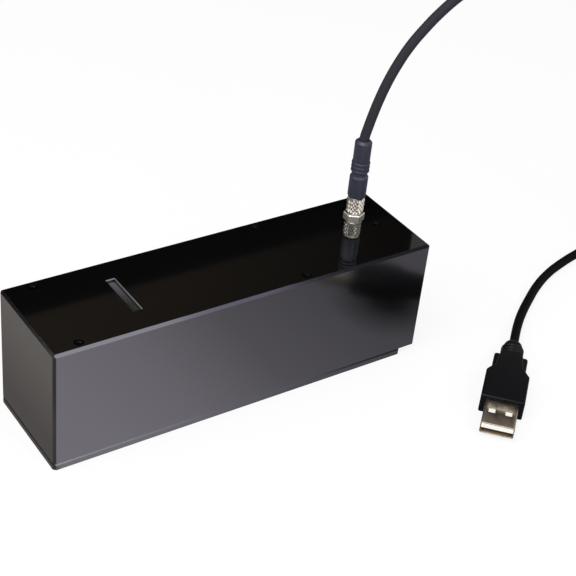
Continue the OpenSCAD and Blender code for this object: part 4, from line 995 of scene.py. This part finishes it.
class TESTER_OT_coupling_ring(Operator):
    """Cuts the diamond knurl of the coupling ring and plates the socket's metal parts"""

    bl_idname = "tester.coupling_ring"
    bl_label = "Coupling ring"

    def execute(self, context):
        sizes = settings().plugs
        nickel = nickel_plate()
        dress(nickel, "panel_socket", "plug_core")
        low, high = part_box("coupling_ring")
        length = (high.z - low.z) / MM
        radius = (high.x - low.x) / 2 / MM
        columns = sizes.knurl_columns
        band = length - 2 * RING_EDGE
        rows = round(band / (TURN * radius / columns) * KNURL_SQUAT)
        bore = SOCKET_D / 2 + NECK_ROOM
        neck = NECK_D / 2 + NECK_ROOM
        wall = [(radius, RING_EDGE + band * row / rows) for row in range(rows + 1)]
        profile = [(bore, 0), (radius - RING_EDGE, 0), *wall, (radius - RING_EDGE, length)]
        profile += [(neck, length), (neck, RING_WEB), (bore, RING_WEB)]
        bm = bmesh.new()
        spin_profile(bm, profile, (0, 0, 1), columns, closed=True)
        grooves, peaks = [], []
        for vert in bm.verts:
            if math.hypot(vert.co.x, vert.co.y) < (radius - RING_EDGE / 2) * MM:
                continue
            column = round(math.atan2(vert.co.y, vert.co.x) / TURN * columns)
            row = round((vert.co.z / MM - RING_EDGE) / band * rows)
            in_groove = (row + column) % 2 or row in (0, rows)
            (grooves if in_groove else peaks).append(vert)
        for vert in grooves:
            shrink = 1 - sizes.knurl_depth / math.hypot(vert.co.x, vert.co.y)
            vert.co.x *= shrink
            vert.co.y *= shrink
        bmesh.ops.connect_verts(bm, verts=grooves)
        bmesh.ops.bevel(
            bm, geom=peaks, offset=sizes.knurl_flat, segments=1, profile=0.5, affect="VERTICES", material=-1
        )
        bmesh.ops.recalc_face_normals(bm, faces=bm.faces)
        bmesh.ops.translate(bm, verts=bm.verts, vec=centre_of("coupling_ring"))
        ring = make_piece("knurled_ring", bm, nickel, "coupling", smooth_deg=8)
        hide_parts("coupling_ring")
        return {"FINISHED"}


class TESTER_OT_panel_nut(Operator):
    """Cuts the socket's hexagon nut, whose corners just show beside the ring"""

    bl_idname = "tester.panel_nut"
    bl_label = "Panel nut"

    def execute(self, context):
        low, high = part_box("panel_nut")
        height = (high.z - low.z) / MM
        flat = NUT_AF / 2
        corner = flat / math.cos(TURN / 12)
        bore = SOCKET_D / 2 + NECK_ROOM
        rim = corner - NUT_CHAMFER
        profile = [(bore, 0), (corner, 0), (corner, height - NUT_CHAMFER), (rim, height), (bore, height)]
        bm = bmesh.new()
        spin_profile(bm, profile, (0, 0, 1), NUT_STEPS, closed=True)
        for vert in bm.verts:
            radius = math.hypot(vert.co.x, vert.co.y)
            inset = NUT_CHAMFER if vert.co.z > (height - NUT_CHAMFER / 2) * MM else 0
            reach = (flat - inset) / math.cos(turn_from_flat(vert, NUT_TURN_DEG)) * MM
            if radius > reach:
                vert.co.x *= reach / radius
                vert.co.y *= reach / radius
        bmesh.ops.translate(bm, verts=bm.verts, vec=centre_of("panel_nut"))
        nut = make_piece("hexagon_nut", bm, satin_nickel(), "root", smooth_deg=20)
        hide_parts("panel_nut")
        return {"FINISHED"}


class TESTER_OT_plug_grip(Operator):
    """Moulds the ribbed grip of the round plug"""

    bl_idname = "tester.plug_grip"
    bl_label = "Round plug grip"

    def execute(self, context):
        low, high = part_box("plug_grip")
        length = (high.z - low.z) / MM
        radius = (high.x - low.x) / 2 / MM
        tail = GRIP_TAIL_D / 2
        groove = tail - RIB_GROOVE
        rib = RIB_D / 2
        neck = NECK_D / 2 + NECK_ROOM
        foot = (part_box("coupling_ring")[1].z - low.z) / MM + GRIP_CLEAR
        profile = [(0, GRIP_SEAT), (neck, GRIP_SEAT), (neck, foot)]
        profile += [(radius - GRIP_FOOT_W, foot), (radius, foot + GRIP_FOOT_H)]
        profile += [(radius, GRIP_LOW_L - SHOULDER_LOW), (groove, GRIP_LOW_L + SHOULDER_HIGH)]
        for i in range(RIB_COUNT):
            middle = RIB_FIRST + i * RIB_PITCH
            profile += [(groove, middle - RIB_W / 2), (rib, middle - RIB_CREST / 2)]
            profile += [(rib, middle + RIB_CREST / 2), (groove, middle + RIB_W / 2)]
        last = RIB_FIRST + (RIB_COUNT - 1) * RIB_PITCH
        profile += [(tail, last + RIB_TAIL), (tail, length - GRIP_RIM)]
        profile += [(tail - GRIP_RIM, length), (0, length)]
        bm = bmesh.new()
        spin_profile(bm, profile, (0, 0, 1), GRIP_STEPS)
        round_edges(bm, sharp_edges(bm, degrees=20), settings().plugs.grip_round, segments=3)
        bmesh.ops.translate(bm, verts=bm.verts, vec=centre_of("plug_grip"))
        grip = make_piece("ribbed_grip", bm, soft_pvc(), "root")
        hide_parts("plug_grip")
        return {"FINISHED"}


def usb_matrix():
    """Place of the USB plug on the table."""
    place = Matrix.Translation(Vector(USB_PLACE) * MM)
    return place @ Matrix.Rotation(math.radians(USB_TURN_DEG), 4, "Z")


def links_of(verts):
    """All edges that meet these vertices."""
    return list({edge for vert in verts for edge in vert.link_edges})


class TESTER_OT_usb_grip(Operator):
    """Moulds the USB plug's grip with its shoulders, ears and ringed collar"""

    bl_idname = "tester.usb_grip"
    bl_label = "USB grip"

    def execute(self, context):
        sizes = settings().plugs
        half, neck, collar = USB_W / 2, USB_NECK_W / 2, USB_COLLAR_H / 2
        side = [(0, half), (USB_STRAIGHT, half), (USB_NECK_X, neck)]
        side += [(USB_COLLAR_X, USB_COLLAR_W / 2 - COLLAR_STEP_W)]
        sole = [(x, -y, -USB_H / 2) for x, y in side] + [(x, y, -USB_H / 2) for x, y in reversed(side)]
        bm = bmesh.new()
        extrude_outline(bm, sole, (0, 0, USB_H))
        ends = [v for v in bm.verts if v.co.x > (USB_NECK_X + NEAR) * MM]
        bmesh.ops.scale(bm, vec=(1, 1, (USB_COLLAR_H - COLLAR_STEP_H) / USB_H), verts=ends)
        bmesh.ops.recalc_face_normals(bm, faces=bm.faces)
        round_edges(bm, bm.edges[:], sizes.usb_round, segments=4)
        for sign in (-1, 1):
            low, high = neck - EAR_ROOT, EAR_W / 2
            middle = Vector((EAR_X0 + EAR_X1, sign * (low + high), 0)) * MM / 2
            size = Vector((EAR_X1 - EAR_X0, high - low, EAR_H)) * MM
            box = Matrix.Translation(middle) @ Matrix.Diagonal((*size, 1))
            ear = bmesh.ops.create_cube(bm, size=1, matrix=box)["verts"]
            round_edges(bm, links_of(ear), sizes.ear_round, segments=3)
        groove = collar - COLLAR_GROOVE
        profile = [(0, USB_COLLAR_X - COLLAR_ROOT), (groove, USB_COLLAR_X - COLLAR_ROOT)]
        for i in range(COLLAR_RINGS):
            start = USB_COLLAR_X + i * COLLAR_PITCH
            end = start + COLLAR_PITCH - COLLAR_SLOPE
            profile += [(groove, start), (collar, start + COLLAR_SLOPE), (collar, end - COLLAR_SLOPE)]
            profile += [(groove, end)]
        dome = USB_COLLAR_X + COLLAR_RINGS * COLLAR_PITCH
        tip = settings().lead.diameter / 2 / MM + LEAD_ROOM
        for i in range(DOME_POINTS):
            turn = math.radians(DOME_START_DEG + i * DOME_STEP_DEG)
            profile += [(tip + (groove - tip) * math.cos(turn), dome + (USB_END_X - dome) * math.sin(turn))]
        profile += [(tip, USB_END_X), (0, USB_END_X)]
        collar_bm = bmesh.new()
        spin_profile(collar_bm, profile, (1, 0, 0), USB_STEPS)
        round_edges(collar_bm, sharp_edges(collar_bm, degrees=25), COLLAR_ROUND * MM, segments=2)
        bmesh.ops.scale(collar_bm, vec=(1, USB_COLLAR_W / USB_COLLAR_H, 1), verts=collar_bm.verts)
        collar_mesh = bpy.data.meshes.new("usb_collar")
        collar_bm.to_mesh(collar_mesh)
        collar_bm.free()
        bm.from_mesh(collar_mesh)
        bpy.data.meshes.remove(collar_mesh)
        bmesh.ops.translate(bm, verts=bm.verts, vec=(SHELL_L * MM, 0, 0))
        bmesh.ops.transform(bm, matrix=usb_matrix(), verts=bm.verts)
        grip = make_piece("usb_moulding", bm, glossy_pvc(), "root")
        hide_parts("usb_grip")
        return {"FINISHED"}


class TESTER_OT_usb_shell(Operator):
    """Folds the USB plug's tin shell with its latch windows and drawn-in mouth"""

    bl_idname = "tester.usb_shell"
    bl_label = "USB shell"

    def execute(self, context):
        sizes = settings().plugs
        length = SHELL_L + SHELL_SEAT
        bm = bmesh.new()
        box = Matrix.Translation((length / 2 * MM, 0, 0)) @ Matrix.Diagonal(
            (length * MM, SHELL_W * MM, SHELL_H * MM, 1)
        )
        open_sleeve(bm, box, axis=0, radius=sizes.shell_round, segments=4)
        for x in (LEAD_IN_L, WINDOW_X - WINDOW / 2, WINDOW_X + WINDOW / 2):
            cut_across(bm, (x, 0, 0), (1, 0, 0))
        for side in (-1, 1):
            for edge in (-1, 1):
                cut_across(bm, (0, side * SHELL_W / 4 + edge * WINDOW / 2, 0), (0, 1, 0))
        holes = []
        for face in bm.faces:
            middle = face.calc_center_median() / MM
            beside = abs(abs(middle.y) - SHELL_W / 4) < WINDOW / 2
            if beside and abs(middle.x - WINDOW_X) < WINDOW / 2 and abs(middle.z) > SHELL_H / 2 - NEAR:
                holes.append(face)
        bmesh.ops.delete(bm, geom=holes, context="FACES")
        mouth = [v for v in bm.verts if v.co.x < NEAR * MM]
        draw = sizes.shell_lead_in / MM
        bmesh.ops.scale(bm, vec=(1, 1 - draw / 2 / SHELL_W, 1 - 2 * draw / SHELL_H), verts=mouth)
        bmesh.ops.recalc_face_normals(bm, faces=bm.faces)
        bmesh.ops.transform(bm, matrix=usb_matrix(), verts=bm.verts)
        shell = make_piece("usb_tin_shell", bm, tin_plate(), "root")
        wall = shell.modifiers.new("sheet", "SOLIDIFY")
        wall.thickness = SHELL_T * MM
        wall.offset = -1
        # The shell's inner faces get the brown of painted warm light
        shell.data.materials.append(painted_light_tin())
        wall.material_offset = 1
        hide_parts("usb_shell")
        return {"FINISHED"}


class TESTER_OT_usb_tongue(Operator):
    """Moulds the USB plug's tongue, which fills the upper half of the shell, with grooves for the contacts"""

    bl_idname = "tester.usb_tongue"
    bl_label = "USB tongue"

    def execute(self, context):
        top = SHELL_H / 2 - SHELL_T - TONGUE_ROOM
        half = SHELL_W / 2 - SHELL_T - TONGUE_ROOM
        foot = SHELL_L + TONGUE_FOOT
        back = SHELL_L + SHELL_SEAT - TONGUE_ROOM
        side = [(TONGUE_FRONT, top), (back, top), (back, -top), (foot, -top), (foot, top - TONGUE_H)]
        side += [(TONGUE_FRONT, top - TONGUE_H)]
        bm = bmesh.new()
        extrude_outline(bm, [(x, -half, z) for x, z in side], (0, 2 * half, 0))
        for y in CONTACT_PLACES:
            for edge in (-GROOVE_W / 2, GROOVE_W / 2):
                cut_across(bm, (0, y + edge, 0), (0, 1, 0))
        cut_across(bm, (GROOVE_START, 0, 0), (1, 0, 0))
        beds = []
        for face in bm.faces:
            middle = face.calc_center_median() / MM
            under = face.normal.z < -0.5 and abs(middle.z - top + TONGUE_H) < NEAR
            at_contact = any(abs(middle.y - y) < GROOVE_W / 2 for y in CONTACT_PLACES)
            if under and at_contact and middle.x > GROOVE_START:
                beds.append(face)
        pull_faces(bm, beds, (0, 0, GROOVE_DEPTH))
        bmesh.ops.delete(bm, geom=beds, context="FACES_ONLY")
        bmesh.ops.remove_doubles(bm, verts=bm.verts, dist=MERGE)
        bmesh.ops.recalc_face_normals(bm, faces=bm.faces)
        bmesh.ops.transform(bm, matrix=usb_matrix(), verts=bm.verts)
        tongue = make_piece("usb_white_tongue", bm, white_nylon(), "root")
        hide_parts("usb_tongue")
        return {"FINISHED"}


class TESTER_OT_strap(Operator):
    """Wraps the woven strap round the coil"""

    bl_idname = "tester.strap"
    bl_label = "Coil strap"

    def execute(self, context):
        low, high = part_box("cord_tie")
        size = high - low
        bm = bmesh.new()
        box = Matrix.Translation((low + high) / 2) @ Matrix.Diagonal((*size, 1))
        open_sleeve(bm, box, axis=1, radius=STRAP_ROUND * MM, segments=5)
        bmesh.ops.recalc_face_normals(bm, faces=bm.faces)
        strap = make_piece("coil_strap", bm, woven_strap(), "root")
        wall = strap.modifiers.new("band", "SOLIDIFY")
        wall.thickness = STRAP_T * MM
        wall.offset = -1
        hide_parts("cord_tie")
        return {"FINISHED"}


def coil_point(sizes, turns):
    """A point of the coil after a number of turns: the lead moves on by one cell in each turn."""
    last = len(COIL_CELLS) - 1
    cell = min(turns, last)
    first = min(int(cell), last - 1)
    share = cell - first
    layer, ring = [a + (b - a) * share for a, b in zip(COIL_CELLS[first], COIL_CELLS[first + 1])]
    radius = sizes.coil_radius + (ring - 1) * sizes.coil_pitch
    angle = math.radians(COIL_IN_DEG) + turns * TURN
    x, y = [c * MM for c in COIL_CENTRE]
    height = COIL_LIFT * MM + sizes.coil_pitch * (layer + 0.5)
    return Vector((x + radius * math.cos(angle), y + radius * math.sin(angle), height))


def led(points, first, last):
    """The same route with its ends brought to two places, the shift fading along the way."""
    count = len(points) - 1
    to_first, to_last = first - points[0], last - points[-1]
    return [p + to_first * (1 - i / count) + to_last * (i / count) for i, p in enumerate(points)]


def lead_points(sizes):
    """The lead's centreline from the round plug to the USB plug."""
    turns = len(COIL_CELLS) - 1 + (COIL_OUT_DEG - COIL_IN_DEG) / 360 % 1
    steps = round(turns * COIL_POINTS_PER_TURN)
    coil = [coil_point(sizes, turns * i / steps) for i in range(steps + 1)]
    low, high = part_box("plug_grip")
    plug_top = Vector(((low.x + high.x) / 2, (low.y + high.y) / 2, high.z))
    lift = Vector((0, 0, sizes.diameter / 2))
    rise = led([Vector(p) * MM for p in LEAD_RISE], plug_top, coil[0])
    usb_end = usb_matrix() @ Vector(((SHELL_L + USB_END_X) * MM, 0, 0))
    tail = led([Vector(p) * MM + lift for p in LEAD_TAIL], coil[-1], usb_end)
    return rise + coil[1:-1] + tail


class TESTER_OT_lead(Operator):
    """Lays the lead from the round plug over its arch into the coil and on to the USB plug"""

    bl_idname = "tester.lead"
    bl_label = "Lead"

    def execute(self, context):
        sizes = settings().lead
        points = lead_points(sizes)
        data = bpy.data.curves.new("usb_lead", "CURVE")
        data.dimensions = "3D"
        data.bevel_depth = sizes.diameter / 2
        data.bevel_resolution = 4
        data.resolution_u = 5
        data.use_fill_caps = True
        spline = data.splines.new("BEZIER")
        spline.bezier_points.add(len(points) - 1)
        for knot, point in zip(spline.bezier_points, points):
            knot.co = point
            knot.handle_left_type = "AUTO"
            knot.handle_right_type = "AUTO"
        data.materials.append(lead_jacket())
        lead = bpy.data.objects.new("usb_lead", data)
        context.scene.collection.objects.link(lead)
        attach(lead, "root")
        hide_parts("cord_rise", "cord_coil", "cord_tail")
        return {"FINISHED"}


class TESTER_PT_panel(Panel):
    """Lists the tester's settings and its operators"""

    bl_idname = "TESTER_PT_panel"
    bl_label = "Roughness tester"
    bl_space_type = "VIEW_3D"
    bl_region_type = "UI"
    bl_category = "Tester"

    def draw(self, context):
        layout = self.layout
        tester = settings()
        for group in (tester.lead, tester.plugs, tester.colours, tester.stage):
            box = layout.box()
            for name in group.bl_rna.properties.keys():
                if name not in ("rna_type", "name"):
                    box.prop(group, name)
        for operator in OPERATORS:
            layout.operator(operator.bl_idname)


OPERATORS = (
    TESTER_OT_stage,
    TESTER_OT_housing,
    TESTER_OT_top_screws,
    TESTER_OT_works,
    TESTER_OT_pickup_spring,
    TESTER_OT_coupling_ring,
    TESTER_OT_panel_nut,
    TESTER_OT_plug_grip,
    TESTER_OT_usb_grip,
    TESTER_OT_usb_shell,
    TESTER_OT_usb_tongue,
    TESTER_OT_strap,
    TESTER_OT_lead,
)
GROUPS = (TesterLeadSizes, TesterPlugSizes, TesterColours, TesterStage, TesterSettings)


def register():
    """Makes the settings, the operators and the panel known to Blender."""
    for group in (*GROUPS, *OPERATORS, TESTER_PT_panel):
        bpy.utils.register_class(group)
    bpy.types.Scene.tester = PointerProperty(type=TesterSettings)


def unregister():
    """Takes the settings, the operators and the panel out again."""
    del bpy.types.Scene.tester
    for group in reversed((*GROUPS, *OPERATORS, TESTER_PT_panel)):
        bpy.utils.unregister_class(group)


def main():
    """Builds the whole scene."""
    register()
    bpy.ops.tester.stage()
    bpy.ops.tester.housing()
    bpy.ops.tester.top_screws()
    bpy.ops.tester.works()
    bpy.ops.tester.pickup_spring()
    bpy.ops.tester.coupling_ring()
    bpy.ops.tester.panel_nut()
    bpy.ops.tester.plug_grip()
    bpy.ops.tester.usb_grip()
    bpy.ops.tester.usb_shell()
    bpy.ops.tester.usb_tongue()
    bpy.ops.tester.strap()
    bpy.ops.tester.lead()


if __name__ == "__main__":
    main()
